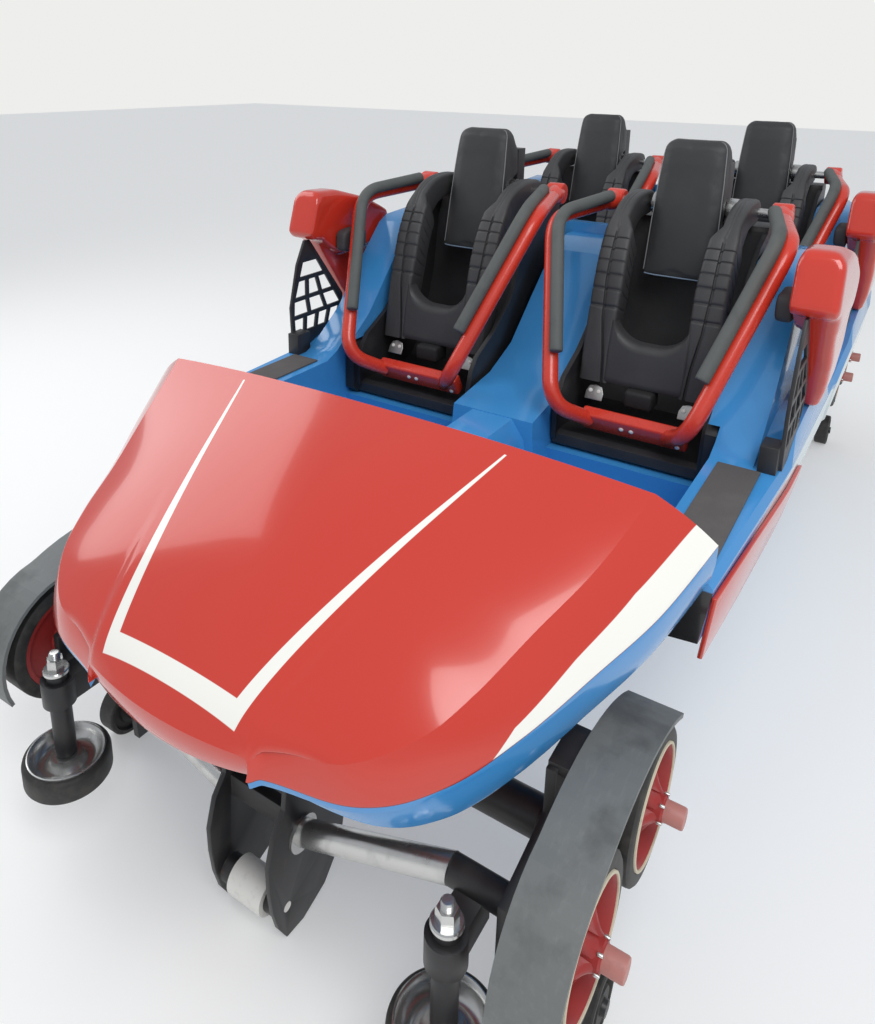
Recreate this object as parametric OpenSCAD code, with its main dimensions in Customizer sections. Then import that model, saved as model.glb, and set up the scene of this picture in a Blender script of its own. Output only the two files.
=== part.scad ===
// Lead car of a roller coaster train: two rows of two seats on two axles with four wheel sets.
// Millimetres. +X is forward to the nose, +Y to the car's left, +Z up, origin under the middle of the car.
// Inside the modules x counts from the front row's restraint pivot and z from the top of the rail.

/* [Layout] */
// Nose tip ahead of the front pivot
nose_x = 2108; // [2098:2:2118]
// Top of the rail above the lowest wheel
rail_z = 300; // [300:1:304]
// Distance between the two rows
row_pitch = 1273; // [1260:1:1290]
// Seat centre from the car's centre
seat_y = 400; // [395:1:405]
// Height of the restraint pivots
pivot_z = 1250; // [1240:1:1260]

/* [Running gear] */
// Front wheel set centre ahead of the front pivot
set_x = 1630; // [1620:1:1640]
// Distance between the axles
axle_pitch = 3540; // [3500:5:3560]
// Reach of the rear coupling behind the rear axle
drawbar = 470; // [440:5:500]
// Distance between the two running wheels of a set
wheelbase = 370; // [366:1:380]
// Running wheel centre plane from the car's centre
wheel_y = 760; // [755:1:765]
// Running wheel radius
wheel_r = 170; // [165:1:172]
// Running wheel tyre width
wheel_w = 96; // [90:1:100]
// Guide wheel radius
guide_r = 112; // [105:1:113]
// Guide wheel axis ahead of the wheel set centre
guide_dx = 320; // [315:1:330]
// Guide wheel axis from the car's centre
guide_y = 579; // [575:1:580]
// Up-stop wheel radius
upstop_r = 80; // [75:1:80]
// Radius of the stub axles
stub_r = 20; // [18:1:24]

/* [Body] */
// Thickness of the moulded panels
skin = 18; // [14:1:22]
// Height of the foot well floor
floor_z = 350; // [345:1:360]
// Height of the side shelf
shelf_z = 660; // [650:1:670]
// Top of the blue wall behind each row
wall_z = 1120; // [1100:5:1140]
// Height of the seat riser
riser_z = 500; // [490:1:502]

/* [Restraint] */
// Pivot shaft radius
shaft_r = 16; // [14:1:18]
// Red tube radius
tube_r = 21; // [18:1:22]
// Grip radius
grip_r = 22; // [20:1:24]

/* [Hidden] */
$fn = 48;
running = 0.05;
gap = 0.3;
rear_x = set_x - axle_pitch;
tail_x = rear_x - drawbar;
deck_x = rear_x - 90;
well_x = set_x - 390;
bulkhead_x = set_x - 130;
rail_r = 68;
wheel_z = wheel_r;
guide_z = -rail_r - 2;
upstop_z = -2 * rail_r - 4 - upstop_r;
axle_z = 190;
clamp_dx = 210;
clamp_y = 527;
wall_x = -160;
side_y = 700;
well_y = 640;
shoulder = 55;
console_y = 150;
seat_w = 244;
vest_w = 214;
spine_y = 102;
fender_t = 10;
fender_top = 422;
crown_r = 567;
BLUE = [0.20, 0.55, 0.82];
RED = [0.83, 0.20, 0.14];
BLACK = [0.10, 0.10, 0.11];
GREY = [0.36, 0.37, 0.37];
STEEL = [0.72, 0.72, 0.74];

// Wheel sets: [x of the set centre, side], front left, front right, rear left, rear right
SETS = [for (x = [set_x, set_x - axle_pitch]) for (s = [1, -1]) [x, s]];
// Seats: [x of the pivot, side], front left, front right, rear left, rear right
SEATS = [for (x = [0, -row_pitch]) for (s = [1, -1]) [x, s]];

// Helpers

module car() { translate([-(nose_x + tail_x) / 2, 0, rail_z]) children(); }
// A profile in x and z, extruded across the car from y0 to y1
module across(y0, y1) { translate([0, y1, 0]) rotate([90, 0, 0]) linear_extrude(y1 - y0) children(); }
// A profile in y and z, extruded along the car from x0 to x1
module along(x0, x1) {
    translate([x0, 0, 0]) rotate([90, 0, 90]) linear_extrude(x1 - x0) children();
}
module at_side(s) { if (s > 0) children(); else mirror([0, 1, 0]) children(); }
module at_set(i) { at_side(SETS[i][1]) translate([SETS[i][0], 0, 0]) children(); }
module at_seat(i) { translate([SEATS[i][0], SEATS[i][1] * seat_y, 0]) children(); }
module rod_y(r, y0, y1, $fn = $fn) { translate([0, y1, 0]) rotate([90, 0, 0]) cylinder(r = r, h = y1 - y0); }
module box(x, y, z) { translate([x[0], y[0], z[0]]) cube([x[1] - x[0], y[1] - y[0], z[1] - z[0]]); }

// Round bar from a to b
module rod_between(a, b, r) {
    d = b - a;
    translate(a) rotate([0, atan2(norm([d[0], d[1]]), d[2]), atan2(d[1], d[0])]) cylinder(r = r, h = norm(d));
}

function unit(v) = v / norm(v);
// Points of a rounded corner at b between a and c, starting and ending at distance d from it
function bend(a, b, c, d, n) =
    let (p = b + unit(a - b) * d, q = b + unit(c - b) * d)
    [for (i = [0:n]) let (t = i / n) p * (1 - t) * (1 - t) + b * 2 * t * (1 - t) + q * t * t];
// Arc of n steps as [x, z] points
function arc(c, r, a0, a1, n) = [for (i = [0:n]) let (a = a0 + (a1 - a0) * i / n) c + r * [cos(a), sin(a)]];
// Smooth value between table rows (Catmull-Rom), k is the row number with a fraction
function row_at(t, k) =
    let (n = len(t) - 1, i = min(floor(k), n - 1), f = k - i,
         p0 = t[max(i - 1, 0)], p1 = t[i], p2 = t[i + 1], p3 = t[min(i + 2, n)])
    0.5 * (2 * p1 + (p2 - p0) * f + (2 * p0 - 5 * p1 + 4 * p2 - p3) * f * f
        + (3 * p1 - 3 * p2 + p3 - p0) * f * f * f);

// Round tube swept along points, its rings turned about a point that the path goes around
module sweep(path, centre, r, sides = 10) {
    n = len(path);
    rings = [for (i = [0:n - 1])
        let (t = unit(path[min(i + 1, n - 1)] - path[max(i - 1, 0)]),
             u = unit(cross(t, path[i] - centre)), v = cross(t, u))
        for (k = [0:sides - 1]) let (a = 360 * k / sides) path[i] + r * (u * cos(a) + v * sin(a))];
    ends = [[for (k = [0:sides - 1]) k], [for (k = [sides - 1:-1:0]) (n - 1) * sides + k]];
    walls = [for (i = [0:n - 2]) for (k = [0:sides - 1])
        let (a = i * sides + k, b = i * sides + (k + 1) % sides) for (f = [[a, a + sides, b], [b, a + sides, b + sides]]) f];
    polyhedron(points = rings, faces = concat(ends, walls));
}

// Running gear

module chassis_frame() color(BLACK) car() {
    for (x = [set_x, set_x - axle_pitch]) difference() {
        box([x - 70, x + 70], [-90, 90], [axle_z, 240]);
        translate([x, 0, axle_z]) rod_y(45 + running, -100, 100);
    }
    box([rear_x - 110, set_x + 250], [-spine_y, spine_y], [240, floor_z - 15 - gap]);
    for (x = [well_x - 60, well_x - 680, -70, -680, -1230])
        box([x - 30, x + 30], [-well_y, well_y], [265, floor_z - 15 - gap]);
}

module axle_beams() color(BLACK) car()
    for (x = [set_x, set_x - axle_pitch]) translate([x, 0, axle_z]) {
        rod_y(45, -624, 624);
        rod_y(30, -680, 680);
    }

// Bright tubes that slope from the wheel sets down to the hanging plates
tie_end = [168, spine_y - 2 + gap, -21];
module tie_tubes() color(STEEL) car() for (s = [1, -1]) at_side(s) translate([set_x, 0, 0]) {
    clamp = [clamp_dx, clamp_y, axle_z + 10];
    intersection() {
        rod_between(clamp + (clamp - tie_end) * 0.1, tie_end - (clamp - tie_end) * 0.1, 31);
        box([0, 400], [tie_end[1], clamp_y - gap], [-200, 400]);
    }
    translate([tie_end[0], 0, tie_end[2]]) rod_y(46, tie_end[1], tie_end[1] + 8);
}

module carrier() {
    plate = [[-240, 118], [-240, 205], [-70, 290], [-70, 398], [70, 398], [70, 290], [262, 245], [262, 118],
        [70, 100], [45, -255], [-45, -255], [-70, 100]];
    difference() {
        union() {
            across(650, 672) polygon(plate);
            translate([0, 0, axle_z]) rod_y(52, 626, 672);
        }
        translate([0, 0, axle_z]) rod_y(30 + running, 600, 700);
    }
    intersection() {
        box([-60, 60], [650, 790], [385, fender_top]);
        translate([0, 0, fender_top - crown_r]) rod_y(crown_r - fender_t - 2 * gap, 640, 800, $fn = 180);
    }
    for (x = [-1, 1] * wheelbase / 2) translate([x, 0, wheel_z]) {
        rod_y(34, 672, 704);
        rod_y(stub_r, 672, 858);
    }
    translate([0, 0, upstop_z]) {
        rod_y(26, 672, wheel_y - 36);
        rod_y(18, 672, 800);
    }
    difference() {
        union() {
            translate([clamp_dx, 0, axle_z + 10]) rod_y(31, clamp_y, 655);
            box([205, guide_dx], [guide_y - 30, guide_y + 30], [125, 195]);
            translate([guide_dx, guide_y, 125]) cylinder(r = 42, h = 70);
        }
        translate([guide_dx, guide_y, 100]) cylinder(r = 27 + running, h = 120);
    }
}

module wheel_carriers() color(BLACK) car() for (i = [0:3]) at_set(i) carrier();

module guide_posts() color(BLACK) car() for (i = [0:3]) at_set(i)
    translate([guide_dx, guide_y, 0]) {
        translate([0, 0, guide_z + 36]) cylinder(r = 27, h = 215 - guide_z - 36);
        translate([0, 0, 215]) cylinder(r = 33, h = 12);
        translate([0, 0, 227]) cylinder(r = 23, h = 30, $fn = 6);
        translate([0, 0, 257]) cylinder(r = 14, h = 17);
        translate([0, 0, guide_z - 36]) cylinder(r = 18, h = 74);
        translate([0, 0, guide_z - 44]) cylinder(r = 30, h = 9);
    }

// Crown arc over both wheels, then an arc around the leading wheel
module fender_outline(t) {
    crown = [0, fender_top - crown_r];
    wheel = [wheelbase / 2, wheel_z];
    outer = concat(arc(crown, crown_r, 121, 69.5, 12), arc(wheel, 214, 83, -22, 12));
    inner = concat(arc(wheel, 214 - t, -22, 83, 12), arc(crown, crown_r - t, 69.5, 121, 12));
    polygon(concat(outer, inner));
}
module fenders() color(GREY) car() for (i = [0:3]) at_set(i) across(697, 823) fender_outline(fender_t);

module spokes(n, r0, r1, w, h) {
    for (k = [0:n - 1]) rotate([0, 0, 90 + 360 * k / n]) translate([r0, -w / 2, 0]) cube([r1 - r0, w, h]);
}

// Solid of one running wheel about z, its outer face up
module running_wheel_solid() {
    rotate_extrude($fn = 72) polygon([[136, -wheel_w / 2], [164, -wheel_w / 2], [wheel_r, -wheel_w / 2 + 8],
        [wheel_r, wheel_w / 2 - 8], [164, wheel_w / 2], [136, wheel_w / 2]]);
    rotate_extrude($fn = 72) polygon([[124, -40], [136, -46], [136, wheel_w / 2 + 2], [128, wheel_w / 2 + 2],
        [122, 30], [122, -30]]);
    difference() {
        union() {
            rotate_extrude() polygon([[0, -48], [46, -48], [50, -20], [122, -20], [122, -8], [50, 0], [46, 70], [0, 70]]);
            spokes(5, 40, 124, 12, 42);
            translate([0, 0, 70]) cylinder(r = 28, h = 43);
        }
        translate([0, 0, -60]) cylinder(r = stub_r + running, h = 163);
    }
}
module running_wheel(i) color(RED) car() at_set(floor(i / 2))
    translate([(i % 2 == 0 ? 1 : -1) * wheelbase / 2, wheel_y, wheel_z]) rotate([-90, 0, 0]) running_wheel_solid();

// Dished wheel that runs on the inner side of the rail
module guide_wheel(i) color(STEEL) car() at_set(i) translate([guide_dx, guide_y, guide_z])
    rotate_extrude($fn = 60) polygon([[18 + running, -30], [42, -30], [48, -14], [84, -6], [92, -30],
        [guide_r - 4, -32], [guide_r, -26], [guide_r, 26], [guide_r - 4, 32], [104, 32], [96, 38], [91, 34],
        [80, 8], [48, 2], [42, 30], [18 + running, 30]]);

module upstop_wheel(i) color(BLACK) car() at_set(i) translate([0, wheel_y, upstop_z]) rotate([90, 0, 0])
    rotate_extrude($fn = 60) polygon([[18 + running, -30], [40, -30], [44, -18], [62, -18], [66, -30],
        [upstop_r - 4, -30], [upstop_r, -26], [upstop_r, 26], [upstop_r - 4, 30], [66, 30], [62, 18], [44, 18],
        [40, 30], [18 + running, 30]]);

// Couplings

// Crescent plates that hang in front of the front axle, with a bar between them and a boss for the roller's pin
roller = [225, -194];
boss_y = 52;
module coupler_plates() color(BLACK) car() translate([set_x, 0, 0]) {
    plate = [[76, 240 - gap], [206, 240 - gap], [214, 150], [222, 88], [258, 44], [281, -30], [280, -100], [272, -170],
        [256, -232], [230, -284], [170, -290], [86, -262], [20, -190], [4, -110], [34, -40], [72, 60]];
    for (s = [1, -1]) at_side(s) difference() {
        union() {
            across(spine_y - 16, spine_y - 2) polygon(plate);
            translate([roller[0], 0, roller[1]]) rod_y(34, boss_y, spine_y - 15);
        }
        translate([roller[0], 0, roller[1]]) rod_y(12 + running, 0, spine_y);
    }
    box([176, 206], [15 - spine_y, spine_y - 15], [10, 70]);
}

module coupler_roller() color("white") car() translate([set_x + roller[0], 0, roller[1]]) {
    rod_y(47, gap - boss_y, boss_y - gap);
    rod_y(12, 2 - spine_y, spine_y - 2);
}

// Drawbar clamped around the rear axle, with an eye for the next car
module coupler_rear() color(STEEL) car() {
    eye_x = tail_x + 60;
    difference() {
        union() {
            translate([eye_x, 0, axle_z - 45]) cylinder(r = 60, h = 90);
            box([eye_x, eye_x + 150], [-50, 50], [axle_z - 36, axle_z + 36]);
            for (s = [1, -1]) rod_between([rear_x - 50, s * 420, axle_z], [eye_x + 110, s * 20, axle_z], 26);
            for (s = [1, -1]) at_side(s) translate([rear_x, 0, axle_z]) rod_y(64, 390, 450);
        }
        translate([eye_x, 0, 0]) cylinder(r = 20, h = 300);
        translate([rear_x, 0, axle_z]) rod_y(45 + running, -500, 500);
    }
}

// Nose

// Stations from the rear edge to the chin: [centre x, z, crease x, y, z, edge x, y, z]
HOOD = [
    [1405, 905, 1365, 717, 862, 1325, 845, 765],
    [1560, 848, 1540, 665, 762, 1490, 785, 672],
    [1720, 778, 1700, 605, 686, 1640, 712, 602],
    [1860, 700, 1835, 560, 628, 1800, 640, 545],
    [1980, 622, 1940, 505, 580, 1925, 556, 492],
    [2060, 556, 2025, 400, 535, 2020, 440, 462],
    [2108, 492, 2082, 224, 492, 2088, 226, 450]];
lip_z = HOOD[0][7] - skin - 2 * gap - shelf_z;
hood_steps = 3;
hood_rows = hood_steps * (len(HOOD) - 1);
crown_n = 7;
band_n = 3;
// One side of a hood station from the centre to the edge
function hood_side(h, s) = concat(
    [for (j = [1:crown_n]) let (v = j / crown_n)
        [h[0] + (h[2] - h[0]) * v * v, s * h[3] * v, h[1] + (h[4] - h[1]) * pow(v, 2.4)]],
    [for (j = [1:band_n]) let (v = j / band_n, b = 10 * sin(180 * v))
        [h[2] + (h[5] - h[2]) * v, s * (h[3] + (h[6] - h[3]) * v + b), h[4] + (h[7] - h[4]) * v + b]]);
function reversed(a) = [for (i = [len(a) - 1:-1:0]) a[i]];
function hood_row(h) = concat(reversed(hood_side(h, -1)), [[h[0], 0, h[1]]], hood_side(h, 1));
hood_outer = [for (i = [0:hood_rows]) hood_row(row_at(HOOD, i / hood_steps))];
hood_cols = len(hood_outer[0]);
function chin(p) = [p[0] - 12, p[1], 434 + 15.5 * pow(p[1] / 224, 2)];

module nose_hood() color(RED) car() {
    rows = concat(hood_outer, [[for (p = hood_outer[hood_rows]) chin(p)]]);
    n = len(rows);
    m = hood_cols;
    outer = [for (r = rows) for (p = r) p];
    inner = [for (i = [0:n - 1]) for (p = rows[i]) p - [i >= n - 2 ? skin : 0.25 * skin, 0, i == n - 1 ? 0 : skin]];
    N = n * m;
    quads = [for (i = [0:n - 2]) for (j = [0:m - 2]) let (a = i * m + j)
        for (f = [[a, a + 1, a + m], [a + 1, a + m + 1, a + m], [N + a, N + a + m, N + a + 1],
            [N + a + 1, N + a + m, N + a + m + 1]]) f];
    side = [for (i = [0:n - 2]) let (a = i * m, b = i * m + m - 1)
        for (f = [[a, a + m, N + a], [a + m, N + a + m, N + a], [b, N + b, b + m], [b + m, N + b, N + b + m]]) f];
    last = (n - 1) * m;
    ends = [for (j = [0:m - 2])
        for (f = [[j, N + j, j + 1], [j + 1, N + j, N + j + 1],
            [last + j, last + j + 1, N + last + j], [last + j + 1, N + last + j + 1, N + last + j]]) f];
    polyhedron(points = concat(outer, inner), faces = concat(quads, side, ends));
}

// Blue lip under the hood's edge: [top x, y, z, bottom x, y, z] along one side
LIP = [for (i = [0:hood_rows - 1])
    let (h = row_at(HOOD, i / hood_steps), f = i / (hood_rows - 1), x = h[5] - 5 - 16 * pow(f, 8))
    [x, h[6] - gap, h[7] - skin - gap, x - 12, h[6] - 10,
        h[7] - skin - gap - lip_z - 26 * f * (1 - f) + (lip_z - 12) * pow(f, 5)]];
module nose_lip() color(BLUE) car() {
    path = concat([for (q = LIP) q], [for (q = reversed(LIP)) [q[0], -q[1], q[2], q[3], -q[4], q[5]]]);
    n = len(path);
    ring = [for (q = path) let (w = unit([0.35, q[1] / 700, 0]) * skin)
        for (p = [[q[0], q[1], q[2]], [q[3], q[4], q[5]], [q[3], q[4], q[5]] - w, [q[0], q[1], q[2]] - w]) p];
    walls = [for (i = [0:n - 2]) for (k = [0:3]) let (a = 4 * i + k, b = 4 * i + (k + 1) % 4)
        for (f = [[a, b, a + 4], [b, b + 4, a + 4]]) f];
    polyhedron(points = ring, faces = concat([[3, 2, 1, 0]], walls, [[for (k = [0:3]) 4 * (n - 1) + k]]));
}

// Body

// Solid between closed rings of k points each
module loft(rings, k) {
    n = len(rings) / k - 1;
    walls = [for (i = [0:n - 1]) for (j = [0:k - 1]) let (a = i * k + j, b = i * k + (j + 1) % k)
        for (f = [[a, a + k, b], [b, a + k, b + k]]) f];
    polyhedron(points = rings, faces = concat([[for (j = [0:k - 1]) j]], walls, [[for (j = [k - 1:-1:0]) n * k + j]]));
}

// Stations of the side sill: [x, outer y, rise over the shelf]; its shoulders carry the pods
SILL = concat([[1303, 843, 0], [1000, 862, 0], [700, 880, 0]],
    [for (q = [[590, 0], [480, shoulder - 13], [330, shoulder], [-60, shoulder], [-170, 0]]) [q[0], 895 - q[0] / 60, q[1]]],
    [[wall_x - 40, 905, 0], [-560, 905, 0]],
    [for (q = [[590, 0], [480, shoulder - 13], [330, shoulder], [-60, shoulder], [-170, 0]]) [q[0] - row_pitch, 905, q[1]]],
    [[deck_x + 300, 890, 0], [deck_x, 860, 0]]);
joint = 8;
sill_z = 500;
edge_z = shelf_z - 18;
function sill_ring(q) = let (z = shelf_z + q[2]) [[q[0], side_y, z], [q[0], q[1] - 16, z], [q[0], q[1], edge_z],
    [q[0], q[1] - 18, sill_z], [q[0], side_y, sill_z - 14]];
// Side sill between two stations
module sill(i0, i1) loft([for (i = [i0:i1]) for (p = sill_ring(SILL[i])) p], 5);
// Outer face of the sill at x and z, below its edge
function sill_y(x, z) = lookup(x, [for (q = SILL) [q[0], q[1]]]) - 18 * (edge_z - z) / (edge_z - sill_z);

// Cross-section of the foot wells, its lower corners cut away
WELL = [[-side_y - 1, shelf_z], [-side_y - 1, 480], [-well_y, floor_z - 15], [well_y, floor_z - 15],
    [side_y + 1, 480], [side_y + 1, shelf_z]];

// Wall, console, riser and side wings around one row of seats
module seat_surround(wing_y) {
    along(wall_x - 40, wall_x) union() {
        polygon(WELL);
        polygon([[side_y, shelf_z - 20], [800, shelf_z - 20], [800, 1020], [785, 1070], [745, wall_z], [-745, wall_z],
            [-785, 1070], [-800, 1020], [-800, shelf_z - 20], [-side_y, shelf_z - 20]]);
    }
    intersection() {
        across(-console_y, console_y) polygon([[wall_x - 1, floor_z], [700, floor_z], [700, 625], [450, 660],
            [300, 730], [160, 890], [20, 1040], [-100, 1080], [wall_x - 1, 1080]]);
        along(-300, 900) polygon([[-console_y, 300], [console_y, 300], [console_y, 540], [105, 1100],
            [-105, 1100], [-console_y, 540]]);
    }
    intersection() {
        across(-side_y + 10, side_y - 10) polygon([[wall_x - 1, floor_z - 1], [560, floor_z - 1], [590, riser_z],
            [wall_x - 1, riser_z]]);
        along(-300, 700) polygon(WELL);
    }
    wing = [[wall_x - 1, riser_z], [560, riser_z], [700, shelf_z], [640, 684], [480, 800], [330, 965],
        [200, 1095], [150, wall_z], [-60, wall_z + 12], [wall_x - 1, wall_z]];
    for (s = [1, -1]) at_side(s) difference() {
        across(wing_y, 800) polygon(wing);
        // room beside the seat's hip block
        box([352, 720], [wing_y - 1, side_y - 16], [riser_z - 1, 716]);
    }
}

// Foot well: floor and side walls from x0 forward to x1, with a tunnel along the middle
module foot_well(x0, x1) {
    along(x0, x1) {
        difference() {
            polygon(WELL);
            polygon([[16 - side_y, shelf_z + 1], [16 - side_y, 484], [8 - well_y, floor_z], [well_y - 8, floor_z],
                [side_y - 16, 484], [side_y - 16, shelf_z + 1]]);
        }
        polygon([[-150, floor_z - 1], [150, floor_z - 1], [116, 560], [72, 622], [-72, 622], [-116, 560]]);
    }
}

module tub_front() color(BLUE) car() {
    for (s = [1, -1]) at_side(s) sill(0, joint);
    seat_surround(seat_y + seat_w + 6);
    foot_well(wall_x - 40, well_x);
    // narrow front end between the wheel sets
    box([well_x - 1, bulkhead_x], [-600, 600], [floor_z - 15, floor_z]);
    for (s = [1, -1]) at_side(s) {
        box([well_x - 15, bulkhead_x], [584, 600], [floor_z - 15, 700]);
        along(well_x - 15, well_x) polygon([[584, floor_z - 15], [well_y, floor_z - 15], [side_y + 1, 480],
            [side_y + 1, shelf_z], [584, shelf_z]]);
    }
    along(bulkhead_x - 15, bulkhead_x) polygon([[-600, floor_z - 15], [600, floor_z - 15], [600, 700], [400, 780],
        [0, 830], [-400, 780], [-600, 700]]);
}

module tub_rear() color(BLUE) car() {
    for (s = [1, -1]) at_side(s) sill(joint, len(SILL) - 1);
    translate([-row_pitch, 0, 0]) seat_surround(seat_y + seat_w + 6);
    foot_well(wall_x - row_pitch - 40, wall_x - 40 - gap);
    // deck over the rear axle
    deck_end = wall_x - row_pitch - 39;
    box([deck_x, deck_end], [-side_y - 1, side_y + 1], [shelf_z - skin, shelf_z]);
    box([deck_x, deck_x + skin], [-side_y - 1, side_y + 1], [sill_z - 14, shelf_z]);
    box([deck_x, deck_end], [-600, 600], [floor_z - 15, floor_z]);
    box([deck_x, deck_x + skin], [-600, 600], [floor_z - 15, shelf_z]);
}

// Red panels on the front of the side sills: [top x, z, bottom x, z]
SKIRT = [[1300, 622, 1262, 432], [1000, 608, 1000, 443], [700, 587, 700, 473], [590, 578, 590, 486],
    [480, 569, 480, 504], [400, 562, 400, 516], [372, 559, 372, 522]];
module side_skirts() color(RED) car() for (s = [1, -1]) at_side(s)
    loft([for (q = SKIRT) let (y0 = sill_y(q[0], q[1]) + gap, y1 = sill_y(q[2], q[3]) + gap)
        for (p = [[q[0], y0, q[1]], [q[0], y0 + 12, q[1]], [q[2], y1 + 12, q[3]], [q[2], y1, q[3]]]) p], 4);

module step_pads() color(GREY) car() for (s = [1, -1]) at_side(s) for (q = [[720, 1290], [-525, wall_x - 45]])
    box(q, [side_y + 12, 825], [shelf_z + gap, shelf_z + 6]);

// Seats

module seat_shell() {
    back = [[-130, riser_z + gap], [548, riser_z + gap], [566, 516], [562, 546], [540, 556], [420, 548], [300, 545],
        [210, 560], [150, 620], [100, 720], [45, 900], [12, 1120], [-20, 1200], [-130, 1200]];
    wing = [[-130, riser_z + gap], [548, riser_z + gap], [574, 540], [572, 620], [552, 690], [520, 730], [400, 790],
        [270, 890], [190, 1060], [90, 1150], [-20, 1185], [-130, 1185]];
    across(1 - seat_w, seat_w - 1) polygon(back);
    for (s = [1, -1]) at_side(s) across(seat_w - 16, seat_w) polygon(wing);
    // hip block on the outer side
    across(seat_w - 1, seat_w + 34) polygon([[380, riser_z + gap], [560, riser_z + gap], [594, 530], [592, 680],
        [566, 706], [380, 700]]);
    // spine behind the head with the shaft's housing
    difference() {
        union() {
            box([-110, -50], [-92, 92], [1190, 1400]);
            translate([0, 0, pivot_z]) rod_y(42, -92, 92);
            box([-100, 0], [-92, 92], [pivot_z - 30, pivot_z + 30]);
        }
        translate([0, 0, pivot_z]) rod_y(28 + running, -100, 100);
    }
}
module seat_shells() color(BLACK) car() for (i = [0:3]) at_seat(i) at_side(SEATS[i][1]) seat_shell();

// Tall head and back cushion, leaning back, on the spine; its upper corners are round
module headrests() color(BLACK) car() for (i = [0:3]) at_seat(i) intersection() {
    across(-103, 103) polygon([[82, 1028], [160, 1020], [176, 1036], [92, 1456], [84, 1470], [68, 1478], [30, 1476],
        [6, 1462], [-14, 1420], [gap - 50, 1395], [gap - 50, 1300], [46, 1292], [50, 1180]]);
    along(-80, 200) polygon(concat([[-103, 1000], [-96, 1010]], [[96, 1010], [103, 1100]],
        arc([63, 1438], 40, 0, 90, 8), arc([-63, 1438], 40, 90, 180, 8), [[-103, 1100]]));
}

module hinge_shafts() color(STEEL) car() for (i = [0:3]) at_seat(i) translate([0, 0, pivot_z]) {
    rod_y(28, -112, 112);
    rod_y(shaft_r, -300, 300);
    for (s = [1, -1]) at_side(s) rod_y(40, 110, 142);
}

// Side pods

// Head with cut corners on a column that stands on the sill's shoulder
module side_pods() color(RED) car() for (i = [0:3]) at_side(SEATS[i][1]) translate([SEATS[i][0], 0, 0]) {
    base_z = shelf_z + shoulder + gap;
    intersection() {
        across(810, 945) polygon([[541, 1069], [596, 1078], [615, 1104], [572, 1238], [552, 1256], [442, 1252],
            [253, 1200], [116, 1136], [104, 1112], [118, 1010], [440, 1000], [490, 1030]]);
        along(0, 700) polygon([[816, 990], [816, 1222], [834, 1262], [908, 1262], [938, 1226], [942, 1090], [938, 1020],
            [925, 990]]);
    }
    intersection() {
        across(840, 940) polygon([[560, 1090], [470, 975], [368, 833], [286, base_z], [100, base_z], [116, 830],
            [104, 1100]]);
        along(0, 700) polygon([[850, base_z], [898, base_z], [916, 790], [928, 900], [934, 1090], [850, 1090]]);
    }
}

// Dark pads on the inner side of the pods
module pod_pads() color(GREY) car() for (i = [0:3]) at_side(SEATS[i][1]) translate([SEATS[i][0], 0, 0]) intersection() {
    across(760, 816 - gap) polygon([[330, 1012], [440, 1012], [472, 1026], [482, 1052], [478, 1082], [455, 1106],
        [330, 1106]]);
    along(300, 500) polygon([[764, 1028], [776, 1000], [820, 1000], [820, 1120], [778, 1120], [764, 1092]]);
}

// Flat guard with rows of openings: [z low, z high, number of openings]
LATTICE_ROWS = [[724, 776, 4], [792, 846, 3], [862, 922, 3], [938, 992, 1]];
// Front and rear edge of the guard at a height
function guard_front(z) = z < 830 ? 680 + (z - 675) * 0.06 : 690 - (z - 830) * 0.36;
function guard_rear(z) = z < 790 ? 442 - (z - 640) * 0.46 : 372 + (z - 790) * 0.71;
// Point on a guard at height z and fraction f from its rear edge, one bar width in from it
lattice_bar = 17;
function in_guard(z, f, d) =
    [guard_rear(z) + lattice_bar + (guard_front(z) - guard_rear(z) - lattice_bar) * f - d, z];
module lattice_guards() color(BLACK) car() for (i = [0:3]) at_side(SEATS[i][1]) translate([SEATS[i][0], 0, 0]) {
    across(860, 870) difference() {
        polygon([[604, 1075], [650, 988], [691, 830], [684, 700], [674, shelf_z + gap], [592, shelf_z + gap],
            [480, shelf_z + shoulder - 13 + gap], [432, shelf_z + shoulder - 8], [376, 790], [374, 822], [574, 1074]]);
        for (q = LATTICE_ROWS) for (k = [0:q[2] - 1])
            polygon([in_guard(q[0], k / q[2], 0), in_guard(q[0], (k + 1) / q[2], lattice_bar),
                in_guard(q[1], (k + 1) / q[2], lattice_bar), in_guard(q[1], k / q[2], 0)]);
    }
    box([640, 712], [812, 860], [shelf_z + gap, 738]);
}

// Restraints

// Centre line of the red tube on one side, from the knuckle to the middle: x, y, z from the pivot
knuckle = [0, vest_w + 66, 0];
corner = [366, vest_w + 158, -26];
low = [676, vest_w - 2, -556];
foot = [545, 128, -632];
function red_side(s) = let (m = [1, s, 1], a = [for (p = [knuckle, corner, low, foot]) [p[0], p[1] * s, p[2]]])
    concat([a[0]], bend(a[0], a[1], a[2], 85, 5), bend(a[1], a[2], a[3], 88, 5), [a[3]]);
red_path = concat(red_side(1), reversed(red_side(-1)));

module restraint_frame(i) color(RED) car() at_seat(i) translate([0, 0, pivot_z]) difference() {
    union() {
        sweep(red_path, [250, 0, -400], tube_r);
        for (s = [1, -1]) at_side(s) {
            rod_y(40, knuckle[1] - 32, knuckle[1] + 34);
            box([0, 54], [knuckle[1] - 28, knuckle[1] + 32], [-34, 28]);
        }
        // saddle plate with a foot behind it
        translate([536, 0, -632]) rotate([0, 30, 0]) {
            box([-16, 18], [-140, 140], [-34, 34]);
            box([-40, -15], [-52, 52], [-32, 8]);
        }
    }
    for (s = [1, -1]) at_side(s) rod_y(shaft_r + running, knuckle[1] - 40, knuckle[1] + 22);
}

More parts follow.
